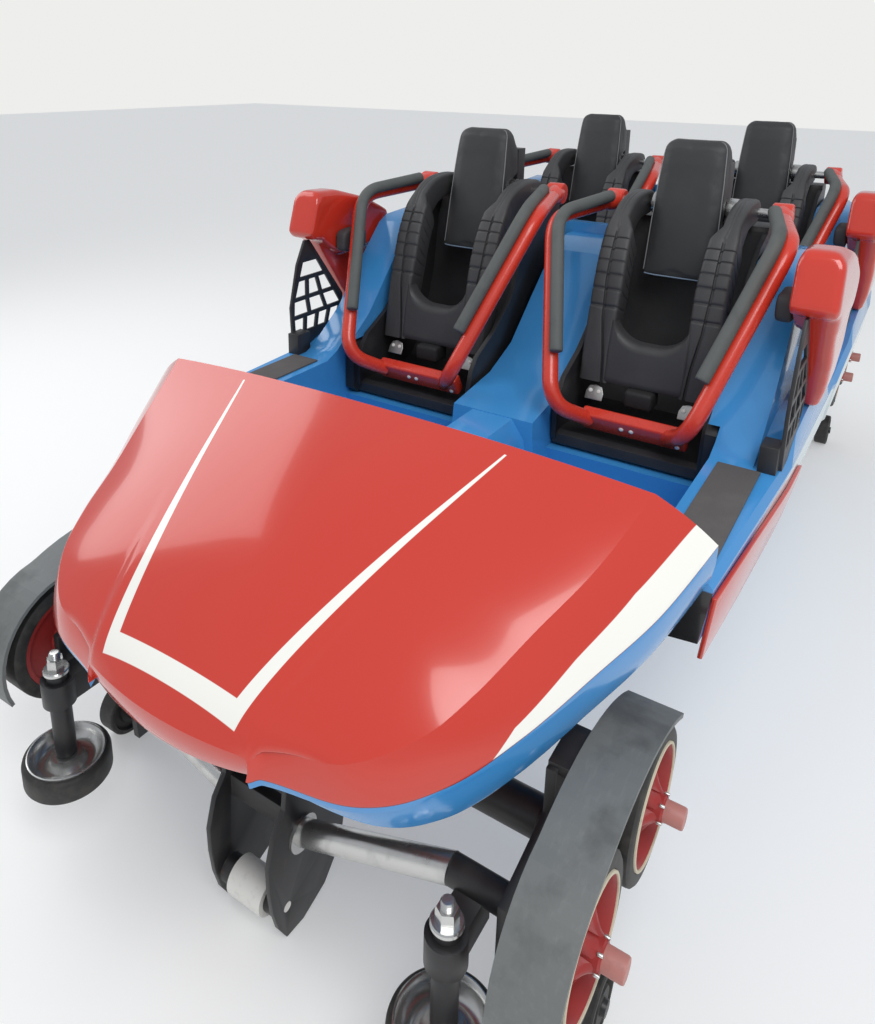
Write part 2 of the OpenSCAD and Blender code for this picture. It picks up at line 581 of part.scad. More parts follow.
// Torso shell: arms from the shaft, ribbed at the shoulders, and a bib between them under a round opening
module restraint_vest(i) color(BLACK) car() at_seat(i) translate([0, 0, pivot_z]) {
    arm = [[-34, -6], [-34, 24], [-14, 42], [40, 48], [110, 46], [172, 34], [224, 10], [270, -28], [305, -72], [336, -128],
        [360, -190], [386, -280], [410, -380], [440, -545], [352, -545], [318, -400], [290, -296], [262, -215],
        [236, -164], [205, -118], [170, -80], [130, -52], [80, -42], [0, -40]];
    difference() {
        union() {
            for (s = [1, -1]) at_side(s) across(146, vest_w) polygon(arm);
            across(-150, 150) polygon([[352, -545], [440, -545], [418, -430], [396, -310], [352, -310]]);
        }
        // round lower end of the opening
        for (s = [1, -1]) translate([340, 46 * s, -322]) rotate([0, 90, 0]) cylinder(r = 100, h = 120);
        box([340, 460], [-46, 46], [-422, -300]);
        for (s = [1, -1]) at_side(s) {
            rod_y(shaft_r + running, 140, vest_w + 10);
            // grooves between the ribs
            for (k = [0:5]) rotate([0, 14 + 4.6 * k, 0]) box([330, 460], [140, vest_w + 10], [-3, 3]);
        }
    }
    box([380, 500], [-60, 60], [-604, -540]);
}

// Grips beside the red tubes, forward of them and on the rider's side
grip_off = (tube_r + grip_r) * 1.09;
grip_turn = 50;
module restraint_grips(i) color(GREY) car() at_seat(i) translate([0, 0, pivot_z]) for (s = [1, -1]) {
    side = [for (p = [knuckle + [66, 20, 0], corner, corner + (low - corner) * 0.75]) [p[0], p[1] * s, p[2]]];
    // forward is square to the tube, inward is square to both
    axis = unit(side[2] - side[1]);
    inward = unit(cross(axis, cross([0, -s, 0], axis)));
    forward = unit(cross(inward, axis)) * s;
    off = grip_off * (inward * cos(grip_turn) + forward * sin(grip_turn));
    a = [for (p = side) p + off];
    sweep(concat([a[0]], bend(a[0], a[1], a[2], 80, 5), [a[2]]), [250, 0, -400], grip_r);
}

chassis_frame();
axle_beams();
tie_tubes();
wheel_carriers();
guide_posts();
fenders();
coupler_plates();
coupler_roller();
coupler_rear();
nose_hood();
nose_lip();
tub_front();
tub_rear();
side_skirts();
step_pads();
seat_shells();
headrests();
hinge_shafts();
side_pods();
pod_pads();
lattice_guards();
running_wheel(0);  // running_wheel_1
running_wheel(1);  // running_wheel_2
running_wheel(2);  // running_wheel_3
running_wheel(3);  // running_wheel_4
running_wheel(4);  // running_wheel_5
running_wheel(5);  // running_wheel_6
running_wheel(6);  // running_wheel_7
running_wheel(7);  // running_wheel_8
guide_wheel(0);  // guide_wheel_1
guide_wheel(1);  // guide_wheel_2
guide_wheel(2);  // guide_wheel_3
guide_wheel(3);  // guide_wheel_4
upstop_wheel(0);  // upstop_wheel_1
upstop_wheel(1);  // upstop_wheel_2
upstop_wheel(2);  // upstop_wheel_3
upstop_wheel(3);  // upstop_wheel_4
restraint_frame(0);  // restraint_frame_1
restraint_frame(1);  // restraint_frame_2
restraint_frame(2);  // restraint_frame_3
restraint_frame(3);  // restraint_frame_4
restraint_vest(0);  // restraint_vest_1
restraint_vest(1);  // restraint_vest_2
restraint_vest(2);  // restraint_vest_3
restraint_vest(3);  // restraint_vest_4
restraint_grips(0);  // restraint_grips_1
restraint_grips(1);  // restraint_grips_2
restraint_grips(2);  // restraint_grips_3
restraint_grips(3);  // restraint_grips_4
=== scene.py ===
"""Lead car of a roller coaster train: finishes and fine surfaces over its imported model."""

import math

import bmesh
import bpy
import numpy as np
from mathutils import Matrix, Vector
from mathutils.bvhtree import BVHTree


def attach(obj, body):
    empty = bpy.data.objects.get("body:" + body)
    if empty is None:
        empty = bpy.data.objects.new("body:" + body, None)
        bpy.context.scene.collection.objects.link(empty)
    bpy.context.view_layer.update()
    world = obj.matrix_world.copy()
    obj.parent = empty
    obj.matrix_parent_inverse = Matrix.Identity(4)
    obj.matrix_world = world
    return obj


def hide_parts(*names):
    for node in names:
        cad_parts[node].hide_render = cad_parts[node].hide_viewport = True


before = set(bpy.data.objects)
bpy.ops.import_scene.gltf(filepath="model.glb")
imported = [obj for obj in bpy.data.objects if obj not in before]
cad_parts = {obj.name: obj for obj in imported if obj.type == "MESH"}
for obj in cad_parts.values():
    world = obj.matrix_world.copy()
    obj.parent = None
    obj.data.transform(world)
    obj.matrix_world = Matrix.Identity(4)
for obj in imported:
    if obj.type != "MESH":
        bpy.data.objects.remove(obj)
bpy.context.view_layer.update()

# The row frame's place of the front restraint pivot in plan and of the rail's top, in metres
PIVOT_TO_FRAME = np.array([0.136, 0.0, 0.3])
ROW_PITCH = 1273
SEAT_Y = 400
PIVOT_Z = 1250
SET_X = 1630
AXLE_PITCH = 3540
WHEEL_DX = 185
WHEEL_Y = 760
WHEEL_R = 170
GUIDE_DX = 320
GUIDE_Y = 579
GUIDE_Z = -70

# Seats as (x of the pivot, side, number in the node names), sets as (x of the middle, side)
SEATS = [(0, 1, 1), (0, -1, 2), (-ROW_PITCH, 1, 3), (-ROW_PITCH, -1, 4)]
SETS = [(SET_X, 1), (SET_X, -1), (SET_X - AXLE_PITCH, 1), (SET_X - AXLE_PITCH, -1)]


# Camera, fitted to the photograph: picture, focal length and principal point in pixels; place in metres from
# the front pivot in plan and the rail's top; heading from the car's axis, slope down and roll in degrees

PICTURE = (875, 1024)
FOCAL = 823.73
PRINCIPAL = (403.3, 307.0)
CAMERA_PLACE = (2.938, 1.116, 1.711)
CAMERA_TURN = (33.24, 16.36, 0.66)
SENSOR = 36


def set_camera():
    """Camera at the photograph's viewpoint."""
    yaw, pitch, roll = (math.radians(a) for a in CAMERA_TURN)
    ahead = Vector((-math.cos(yaw) * math.cos(pitch), -math.sin(yaw) * math.cos(pitch), -math.sin(pitch)))
    level = ahead.cross(Vector((0, 0, 1))).normalized()
    upright = level.cross(ahead)
    right = math.cos(roll) * level + math.sin(roll) * upright
    up = right.cross(ahead)
    data = bpy.data.cameras.new("view")
    data.sensor_width = SENSOR
    data.lens = FOCAL / PICTURE[1] * SENSOR
    data.shift_x = (PICTURE[0] / 2 - PRINCIPAL[0]) / PICTURE[1]
    data.shift_y = (PRINCIPAL[1] - PICTURE[1] / 2) / PICTURE[1]
    data.clip_start = 0.02
    camera = bpy.data.objects.new("view", data)
    place = Matrix.Translation(Vector(CAMERA_PLACE) + Vector(PIVOT_TO_FRAME))
    camera.matrix_world = place @ Matrix((right, up, -ahead)).transposed().to_4x4()
    bpy.context.scene.collection.objects.link(camera)
    bpy.context.scene.camera = camera


set_camera()


# Materials


def linear(r, g, b):
    """An sRGB colour in 0 to 255 as linear light."""
    c = np.array([r, g, b]) / 255
    return tuple(np.where(c <= 0.04045, c / 12.92, ((c + 0.055) / 1.055) ** 2.4)) + (1.0,)


class Wire:
    """A value in a material; arithmetic on it adds Math nodes to the material's tree."""

    def __init__(self, paint, socket):
        self.paint, self.socket = paint, socket

    def _maths(self, operation, *values, clamp=False):
        return self.paint.node("ShaderNodeMath", dict(operation=operation, use_clamp=clamp), *values)

    def __add__(self, other):
        return self._maths("ADD", self, other)

    def __sub__(self, other):
        return self._maths("SUBTRACT", self, other)

    def __rsub__(self, other):
        return self._maths("SUBTRACT", other, self)

    def __mul__(self, other):
        return self._maths("MULTIPLY", self, other)

    def __truediv__(self, other):
        return self._maths("DIVIDE", self, other)

    def __abs__(self):
        return self._maths("ABSOLUTE", self)

    def over(self, level, soft=0.001):
        """0 below the level and 1 above it, with a soft step."""
        return self._maths("ADD", (self - level) / soft, 0.5, clamp=True)

    def under(self, level, soft=0.001):
        """1 below the level and 0 above it, with a soft step."""
        return self._maths("SUBTRACT", 0.5, (self - level) / soft, clamp=True)

    def clamp(self):
        return self._maths("ADD", self, 0.0, clamp=True)


class Paint:
    """A material whose surface is one Principled shader; its patterns lie in the object's own metres."""

    def __init__(self, name, colour, roughness=0.5, **fixed):
        self.material = bpy.data.materials.new(name)
        self.material.use_nodes = True
        self.nodes = self.material.node_tree.nodes
        self.links = self.material.node_tree.links
        self.surface = self.nodes["Principled BSDF"]
        self.colour = colour
        self.surface.inputs["Base Color"].default_value = colour
        self.surface.inputs["Roughness"].default_value = roughness
        for socket, value in fixed.items():
            self.surface.inputs[socket.replace("_", " ")].default_value = value
        self.place = None

    def node(self, kind, settings=None, *values, output=0, **named):
        """A node of that kind: its settings first, then the values or wires of its sockets."""
        made = self.nodes.new(kind)
        for key, value in (settings or {}).items():
            setattr(made, key, value)
        for key, value in [*enumerate(values), *((k.replace("_", " "), v) for k, v in named.items())]:
            self.feed(made.inputs[key], value)
        return Wire(self, made.outputs[output])

    def feed(self, socket, value):
        if isinstance(value, Wire):
            self.links.new(value.socket, socket)
        else:
            socket.default_value = value

    def where(self):
        """Object coordinates as a vector wire."""
        if self.place is None:
            self.place = self.node("ShaderNodeTexCoord", output="Object")
        return self.place

    def axes(self):
        """x, y and z wires of the object coordinates, in metres."""
        split = self.node("ShaderNodeSeparateXYZ", None, self.where())
        return [Wire(self, split.socket.node.outputs[i]) for i in range(3)]

    def noise(self, size, detail=4.0, rough=0.55, stretch=(1, 1, 1)):
        """Cloudy values around a half, with spots of about that size in metres."""
        place = self.node("ShaderNodeMapping", None, self.where(), Scale=stretch)
        made = dict(Vector=place, Scale=1 / size, Detail=detail, Roughness=rough)
        return self.node("ShaderNodeTexNoise", None, **made)

    def mix(self, share, first, second):
        made = self.nodes.new("ShaderNodeMix")
        made.data_type = "RGBA"
        for key, value in ((0, share), (6, first), (7, second)):
            self.feed(made.inputs[key], value)
        return Wire(self, made.outputs[2])

    def tint(self, share, colour):
        """Lays a colour over the present one where share is 1."""
        self.colour = self.mix(share, self.colour, colour)
        return self

    def bump(self, height, depth):
        """Relief of that depth in metres from a 0 to 1 height."""
        made = self.node("ShaderNodeBump", None, Strength=1.0, Distance=depth, Height=height)
        self.feed(self.surface.inputs["Normal"], made)
        return self

    def rough(self, wire):
        self.feed(self.surface.inputs["Roughness"], wire)
        return self

    def done(self):
        if isinstance(self.colour, Wire):
            self.feed(self.surface.inputs["Base Color"], self.colour)
        return self.material


WHITE = linear(244, 242, 234)
RED = linear(200, 52, 36)
BLUE = linear(62, 142, 206)
PALE = linear(205, 224, 228)

# Stripes of the nose, in metres ahead of the front pivot and from the car's middle
STRIPE_TIP, STRIPE_BAR, STRIPE_END = 1.418, 2.042, 2.073
STRIPE_FROM, STRIPE_LENGTH = 1.428, 0.645
STRIPE_Y, STRIPE_TAPER = 0.396, 0.208
STRIPE_THIN, STRIPE_WIDENS = 0.006, 0.026

# Pale band of the side: its lower limit in y, its front end, and its top, which falls ahead of a place in x
BAND_Y, BAND_END, BAND_TOP, BAND_FALLS_FROM, BAND_FALL = 0.79, 1.37, 0.925, 0.9, 0.09
# Painted shade, near black, on the body's front end beside the nose, under the nose's lip
PAINTED_SHADE_X, PAINTED_SHADE_Y, PAINTED_SHADE_TOP = PIVOT_TO_FRAME[0] + 1.296, 0.6, 0.935


def gloss_red():
    """Red gel coat with a faint cloudiness."""
    paint = Paint("red gel coat", RED, 0.16, Coat_Weight=0.5, Coat_Roughness=0.05)
    cloud = paint.noise(0.35, 2.0)
    return paint.tint(cloud * 0.12, linear(216, 74, 54)).rough(cloud * 0.06 + 0.13)


def hood_paint():
    """Red gel coat: two white stripes joined across the nose, a white wedge on each side, a blue rim."""
    paint = gloss_red()
    x, y = paint.axes()[:2]
    x = x - PIVOT_TO_FRAME[0]
    side = abs(y)
    forward = (x - STRIPE_FROM) / STRIPE_LENGTH
    outer = STRIPE_Y - forward * STRIPE_TAPER
    inner = outer - STRIPE_THIN - forward * STRIPE_WIDENS
    gap_between = side.under(inner) * x.under(STRIPE_BAR)
    stripe = side.under(outer) * (1.0 - gap_between) * x.over(STRIPE_TIP) * x.under(STRIPE_END)
    wedge = paint.node("ShaderNodeAttribute", dict(attribute_name="wedge"), output="Fac")
    rim = paint.node("ShaderNodeAttribute", dict(attribute_name="rim"), output="Fac")
    paint.tint((stripe + wedge.over(0.0, 0.01)).clamp(), WHITE)
    paint.tint(rim.over(0.02, 0.01), linear(120, 40, 40))
    return paint.tint(rim.over(0.14, 0.02), BLUE).done()


def blue_paint(name="blue gel coat", band_and_shade=False):
    """Blue gel coat; its flag adds the pale band along the side and near black painted shade on the body's
    front end beside the nose.
    """
    paint = Paint(name, BLUE, 0.18, Coat_Weight=0.4, Coat_Roughness=0.06)
    cloud = paint.noise(0.5, 2.0)
    paint.tint(cloud * 0.14, linear(98, 172, 226)).rough(cloud * 0.06 + 0.16)
    if band_and_shade:
        x, y, z = paint.axes()
        side = abs(y)
        top = BAND_TOP - (x - BAND_FALLS_FROM).clamp() * BAND_FALL
        paint.tint(side.over(BAND_Y, 0.004) * (top - z).over(0.0, 0.003) * x.under(BAND_END, 0.01), PALE)
        # Painted shade: near black on the front end beside the nose, where it lies under the nose's lip
        end = x.over(PAINTED_SHADE_X, 0.002) * side.over(PAINTED_SHADE_Y, 0.002) * z.under(PAINTED_SHADE_TOP, 0.004)
        paint.tint(end, linear(26, 26, 28))
    return paint.done()


def satin_black(name, colour, roughness, grain=0.0006, size=0.002):
    """Moulded black plastic with a fine grain and dusty patches."""
    paint = Paint(name, colour, roughness)
    dust = paint.noise(0.18, 5.0)
    paint.tint((dust - 0.45).clamp() * 0.5, linear(92, 90, 88)).rough(dust * 0.2 + roughness - 0.1)
    return paint.bump(paint.noise(size, 2.0), grain).done()


def painted_steel():
    """Black paint on steel, with dust and a few rusty scuffs."""
    paint = Paint("black painted steel", linear(34, 34, 36), 0.42)
    dust = paint.noise(0.09, 6.0)
    rust = paint.noise(0.03, 6.0)
    paint.tint((dust - 0.42).clamp() * 0.6, linear(84, 80, 76))
    paint.tint((rust - 0.66).clamp() * 4, linear(92, 58, 40))
    return paint.rough(dust * 0.3 + 0.28).bump(dust, 0.0004).done()


def fender_plastic():
    """Dark grey moulding with light scuffs along it and dirt in patches."""
    paint = Paint("fender plastic", linear(110, 113, 112), 0.55)
    scuff = paint.noise(0.012, 6.0, 0.6, (0.25, 1, 1))
    dirt = paint.noise(0.12, 5.0)
    paint.tint((scuff - 0.52).clamp() * 1.2, linear(138, 139, 137))
    paint.tint((dirt - 0.52).clamp() * 2.2, linear(44, 43, 42))
    return paint.rough(scuff * 0.3 + 0.4).bump(scuff, 0.0004).done()


def grip_tape():
    """Dark grey non-slip sheet with a sandy grain."""
    paint = Paint("step sheet", linear(88, 85, 84), 0.85)
    grain = paint.noise(0.0022, 3.0)
    wear = paint.noise(0.1, 4.0)
    paint.tint((wear - 0.48).clamp() * 1.2, linear(112, 108, 105))
    return paint.bump(grain, 0.0012).done()


def foam():
    """Grey skinned foam with a soft pore texture."""
    paint = Paint("grip foam", linear(88, 91, 89), 0.66)
    pores = paint.noise(0.0035, 3.0)
    worn = paint.noise(0.06, 4.0)
    paint.tint((worn - 0.5).clamp() * 1.4, linear(62, 64, 62))
    return paint.bump(pores, 0.0006).done()


def steel(name="bare steel", colour=linear(176, 176, 174), roughness=0.3):
    """Machined steel with a fine cloud of oil and wear."""
    paint = Paint(name, colour, roughness, Metallic=0.9)
    cloud = paint.noise(0.05, 6.0)
    paint.tint((cloud - 0.5).clamp() * 1.4, linear(104, 102, 98))
    return paint.rough(cloud * 0.25 + roughness - 0.08).done()


def red_enamel():
    """Red enamel of the restraint tubes, a little worn."""
    paint = Paint("red enamel", linear(214, 60, 42), 0.28, Coat_Weight=0.3, Coat_Roughness=0.1)
    worn = paint.noise(0.05, 6.0)
    paint.tint((worn - 0.56).clamp() * 1.5, linear(170, 44, 34))
    return paint.rough(worn * 0.15 + 0.2).bump(paint.noise(0.02, 2.0), 0.0003).done()


def tyre():
    """Black polyurethane tread with dust."""
    paint = Paint("wheel tyre", linear(40, 39, 38), 0.6)
    dust = paint.noise(0.03, 6.0)
    return paint.tint((dust - 0.45).clamp() * 1.6, linear(88, 84, 78)).rough(dust * 0.3 + 0.45).done()


def plain(name, colour, roughness):
    """A small fitting's paint, a little mottled."""
    paint = Paint(name, colour, roughness)
    spots = paint.noise(0.02, 5.0)
    paint.tint((spots - 0.55).clamp() * 0.8, linear(60, 56, 52))
    return paint.rough(spots * 0.2 + roughness - 0.1).done()


# Every finish by the name that make() and the others take
FINISH = dict(
    hood=hood_paint(),
    red=gloss_red().done(),
    blue=blue_paint(),
    band_and_shade=blue_paint("blue gel coat with pale side and painted shade", True),
    seat=satin_black("seat moulding", linear(38, 38, 40), 0.42),
    vest=satin_black("torso moulding", linear(60, 60, 61), 0.5, 0.0005, 0.0016),
    cushion=satin_black("head cushion skin", linear(46, 47, 48), 0.5, 0.0004, 0.0012),
    pad=satin_black("side pad skin", linear(60, 60, 62), 0.6),
    frame=painted_steel(),
    fender=fender_plastic(),
    step=grip_tape(),
    foam=foam(),
    steel=steel(),
    bright=steel("bright steel", linear(204, 204, 202), 0.2),
    enamel=red_enamel(),
    tyre=tyre(),
    hub=plain("red wheel hub", linear(160, 46, 44), 0.45),
    cap=plain("hub cap", linear(188, 126, 118), 0.5),
    white=plain("white nylon", linear(226, 224, 218), 0.5),
    seam=plain("seam piping", linear(122, 123, 124), 0.5),
    hem=plain("pale piping", linear(122, 140, 160), 0.5),
    ring=plain("wheel ring", linear(206, 196, 172), 0.6),
    rubber=plain("foot rubber", linear(34, 34, 35), 0.7),
)


# Building surfaces


def spot(points):
    """Points in millimetres from the front pivot and the rail's top, as metres in the row frame."""
    return np.asarray(points, float) / 1000 + PIVOT_TO_FRAME


def grid_form(grid, ring=False, loop=False, ends=False):
    """Points and faces over an array of rows: ring closes each row, loop joins the last row to the first,
    and ends caps both."""
    rows, cols = grid.shape[:2]
    across = np.arange(cols if ring else cols - 1)
    i, j = np.meshgrid(np.arange(rows if loop else rows - 1), across, indexing="ij")
    a, b = i * cols + j, i * cols + (j + 1) % cols
    c, d = ((i + 1) % rows) * cols + (j + 1) % cols, ((i + 1) % rows) * cols + j
    faces = np.stack([a, b, c, d], -1).reshape(-1, 4).tolist()
    if ends:
        faces += [list(range(cols))[::-1], [(rows - 1) * cols + k for k in range(cols)]]
    return grid.reshape(-1, 3), faces


def grid_of(*xyz):
    """A surface's points from its x, y and z, each an array over its two parameters or a single value."""
    return np.stack(np.broadcast_arrays(*xyz), -1)


def carried(section):
    """A closed section carried along a piece: each of its points is the x, y and z of a line, as arrays."""
    lines = np.broadcast_arrays(*[value for line in section for value in line])
    grid = np.array(lines).reshape(len(section), 3, -1).transpose(2, 0, 1)
    return grid_form(grid, ring=True, ends=True)


def joined(forms):
    """Several forms as one."""
    points, faces, start = [], [], 0
    for p, f in forms:
        points.append(p)
        faces += [[k + start for k in face] for face in f]
        start += len(p)
    return np.concatenate(points), faces


def mirrored(form):
    """The form's mirror image across the car's middle, still facing outwards."""
    points, faces = form
    return points * [1, -1, 1], [face[::-1] for face in faces]


def for_side(form, side):
    return form if side > 0 else mirrored(form)


def closed_mesh(name, form, merge=True):
    """A mesh of a form in metres, with its faces outward; merge joins points that fall on each other."""
    mesh = bpy.data.meshes.new(name)
    points, faces = form
    mesh.from_pydata(np.asarray(points, float).tolist(), [], faces)
    b = bmesh.new()
    b.from_mesh(mesh)
    if merge:
        bmesh.ops.remove_doubles(b, verts=b.verts, dist=1e-6)
    bmesh.ops.recalc_face_normals(b, faces=b.faces)
    b.to_mesh(mesh)
    b.free()
    return mesh


def make(name, form, paint, body="car", sharp=35.0, bevel=0.0, stands_for=(), slot=None, merge=True):
    """One piece from a form in row-frame metres, smooth but for edges sharper than the angle."""
    mesh = closed_mesh(name, form, merge)
    return finish_piece(name, mesh, paint, body, sharp, bevel, stands_for)


def finish_piece(name, mesh, paint, body, sharp, bevel, stands_for, segments=3):
    piece = bpy.data.objects.new(name, mesh)
    bpy.context.scene.collection.objects.link(piece)
    mesh.materials.clear()
    mesh.materials.append(FINISH[paint])
    if bevel:
        rounding = piece.modifiers.new("rounding", "BEVEL")
        rounding.width = bevel
        rounding.segments = segments
        rounding.limit_method = "ANGLE"
        rounding.angle_limit = math.radians(28)
        applied(piece)
    piece.data.polygons.foreach_set("use_smooth", [True] * len(piece.data.polygons))
    piece.data.set_sharp_from_angle(angle=math.radians(sharp))
    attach(piece, body)
    if stands_for:
        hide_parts(*stands_for)
    return piece


def applied(piece):
    """The piece with its modifiers made part of its mesh."""
    seen = bpy.context.evaluated_depsgraph_get()
    mesh = bpy.data.meshes.new_from_object(piece.evaluated_get(seen))
    piece.modifiers.clear()
    piece.data = mesh
    return piece


def softened(node, paint, width, segments=3):
    """A copy of a CAD node with its flat faces merged and its edges rounded; it stands for the node."""
    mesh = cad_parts[node].data.copy()
    b = bmesh.new()
    b.from_mesh(mesh)
    bmesh.ops.remove_doubles(b, verts=b.verts, dist=2e-5)
    bmesh.ops.dissolve_limit(b, angle_limit=math.radians(0.6), verts=b.verts, edges=b.edges)
    b.to_mesh(mesh)
    b.free()
    return finish_piece(node + "_skin", mesh, paint, "car", 40.0, width, (node,), segments=segments)


def moulded(node, paint, voxel, rounds):
    """A copy of a CAD node as one smooth skin: even small faces, then rounds of evening out its corners."""
    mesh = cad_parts[node].data.copy()
    piece = bpy.data.objects.new(node + "_form", mesh)
    bpy.context.scene.collection.objects.link(piece)
    even = piece.modifiers.new("even", "REMESH")
    even.mode = "VOXEL"
    even.voxel_size = voxel
    smooth = piece.modifiers.new("smooth", "SMOOTH")
    smooth.factor = 0.5
    smooth.iterations = rounds
    applied(piece)
    mesh = piece.data
    bpy.data.objects.remove(piece)
    return finish_piece(node + "_skin", mesh, paint, "car", 60.0, 0.0, (node,))


def places_of(mesh):
    """The mesh's points as rows of x, y and z."""
    places = np.empty(len(mesh.vertices) * 3)
    mesh.vertices.foreach_get("co", places)
    return places.reshape(-1, 3)


# Cloth that pads the cushions: pressure, frames it runs for, and rounds of smoothing after them
CLOTH_PRESSURE = 4
CLOTH_FRAMES = 20
CALMING_ROUNDS = 8


def swelled(form, voxel, cap, start=0.002):
    """A form in metres as cloth blown up under pressure from a slightly smaller shape.

    No point moves past the cap."""
    piece = bpy.data.objects.new("pad_form", closed_mesh("pad_form", form))
    bpy.context.scene.collection.objects.link(piece)
    even = piece.modifiers.new("even", "REMESH")
    even.mode = "VOXEL"
    even.voxel_size = voxel
    shrink = piece.modifiers.new("shrink", "DISPLACE")
    shrink.strength = -start
    shrink.mid_level = 0
    applied(piece)
    first = places_of(piece.data)
    cloth = piece.modifiers.new("cloth", "CLOTH")
    cloth.settings.use_pressure = True
    cloth.settings.uniform_pressure_force = CLOTH_PRESSURE
    cloth.settings.effector_weights.gravity = 0
    calm = piece.modifiers.new("calm", "SMOOTH")
    calm.factor = 0.5
    calm.iterations = CALMING_ROUNDS
    scene = bpy.context.scene
    for number in range(1, CLOTH_FRAMES + 1):
        scene.frame_set(number)
    move = places_of(piece.evaluated_get(bpy.context.evaluated_depsgraph_get()).data) - first
    far = np.linalg.norm(move, axis=1)[:, None]
    points = first + move * np.minimum(1, cap / np.maximum(far, 1e-9))
    faces = [list(polygon.vertices) for polygon in piece.data.polygons]
    scene.frame_set(1)
    bpy.data.objects.remove(piece)
    return points, faces


def paint_node(node, paint):
    """A CAD node that stays gets its finish."""
    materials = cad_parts[node].data.materials
    for place in range(len(materials)):
        materials[place] = FINISH[paint]
    if not materials:
        materials.append(FINISH[paint])


def spline(table, k):
    """Rows between the rows of a table, smoothly (Catmull-Rom), at row numbers k with a fraction."""
    t = np.asarray(table, float)
    n = len(t) - 1
    i = np.clip(np.floor(k).astype(int), 0, n - 1)
    f = (k - i)[:, None]
    a, b, c, d = t[np.maximum(i - 1, 0)], t[i], t[i + 1], t[np.minimum(i + 2, n)]
    return 0.5 * (2 * b + (c - a) * f + (2 * a - 5 * b + 4 * c - d) * f**2 + (3 * b - 3 * c + d - a) * f**3)


def bend(a, b, c, d, n=14):
    """A rounded corner at b between a and c that starts and ends at distance d from it."""
    a, b, c = (np.asarray(v, float) for v in (a, b, c))
    p, q = b + (a - b) / np.linalg.norm(a - b) * d, b + (c - b) / np.linalg.norm(c - b) * d
    t = np.linspace(0, 1, n)[:, None]
    return p * (1 - t) ** 2 + b * 2 * t * (1 - t) + q * t**2


def tube(path, radius, sides):
    """Round tube along a path; radius may change along it. Each ring turns with the path without twist."""
    path = np.asarray(path, float)
    radius = np.broadcast_to(np.asarray(radius, float), len(path))
    along = np.gradient(path, axis=0)
    along /= np.linalg.norm(along, axis=1)[:, None]
    side = np.cross(along[0], [0.3, 0.2, 1.0])
    sides_of = []
    for t in along:
        side = side - t * (side @ t)
        side = side / np.linalg.norm(side)
        sides_of.append(side)
    u = np.array(sides_of)
    v = np.cross(along, u)
    a = np.linspace(0, 2 * np.pi, sides, endpoint=False)
    grid = path[:, None] + radius[:, None, None] * (
        u[:, None] * np.cos(a)[None, :, None] + v[:, None] * np.sin(a)[None, :, None]
    )
    return grid_form(grid, ring=True, ends=True)


def turned(profile, centre, axis, sides=64, closed=False):
    """A profile of (radius, height) rows turned about an axis 'x', 'y' or 'z' through a centre."""
    profile = np.asarray(profile, float)
    a = np.linspace(0, 2 * np.pi, sides, endpoint=False)
    r, h = profile[:, 0][:, None], profile[:, 1][:, None]
    p, q, w = r * np.cos(a), r * np.sin(a), h + 0 * a
    order = {"x": (w, p, q), "y": (q, w, p), "z": (p, q, w)}[axis]
    return grid_form(np.stack(order, -1) + centre, ring=True, loop=closed, ends=not closed)


def block(low, high):
    """A plain box between two corners, to be rounded."""
    (a, b, c), (d, e, f) = low, high
    points = np.array([(x, y, z) for x in (a, d) for y in (b, e) for z in (c, f)], float)
    return points, [[0, 1, 3, 2], [4, 6, 7, 5], [0, 4, 5, 1], [2, 3, 7, 6], [0, 2, 6, 4], [1, 5, 7, 3]]


def in_metres(form):
    return spot(form[0]), form[1]


# Nose: the same stations as the part's, [centre x, z, crease x, y, z, edge x, y, z]

HOOD = [
    [1405, 905, 1365, 717, 862, 1325, 845, 765],
    [1560, 848, 1540, 665, 762, 1490, 785, 672],
    [1720, 778, 1700, 605, 686, 1640, 712, 602],
    [1860, 700, 1835, 560, 628, 1800, 640, 545],
    [1980, 622, 1940, 505, 580, 1925, 556, 492],
    [2060, 556, 2025, 400, 535, 2020, 440, 462],
    [2108, 492, 2082, 224, 492, 2088, 226, 450],
]
SKIN = 18
CROWN_POWER = 2.2
BAND_BULGE = 4
# Low fold outside the stripes: its height, where it starts and is whole, and its place in y at STRIPE_FROM
FOLD_HEIGHT, FOLD_START, FOLD_WHOLE, FOLD_Y, FOLD_TAPER = 8, 1700, 2050, 434, 0.3225
# Chin: half width, height of its lower edge in the middle and its rise to the ends; how it turns down, as
# (x, share of the way down)
CHIN_Y, CHIN_BOTTOM, CHIN_RISE = 224, 434, 15.5
CHIN_TURN = [(0, 0.08), (-0.5, 0.25), (-2.5, 0.5), (-7, 0.8), (-12, 1)]
CHIN_ROW = -len(CHIN_TURN) - 1
# The crease steps back by that much beside the chin, between those places in y
NOTCH, NOTCH_Y = [-18, 0, 12], (228, 250, 262, 420)


def step(value, start, end):
    """0 before the start, 1 after the end and a smooth rise between."""
    t = np.clip((value - start) / (end - start), 0, 1)
    return t * t * (3 - 2 * t)


# How far out on the side band the white wedge begins, at the stations' numbers
WEDGE = [[0, 0.62], [1, 0.56], [2, 0.65], [3, 0.8], [3.4, 1.0], [6, 2.0]]


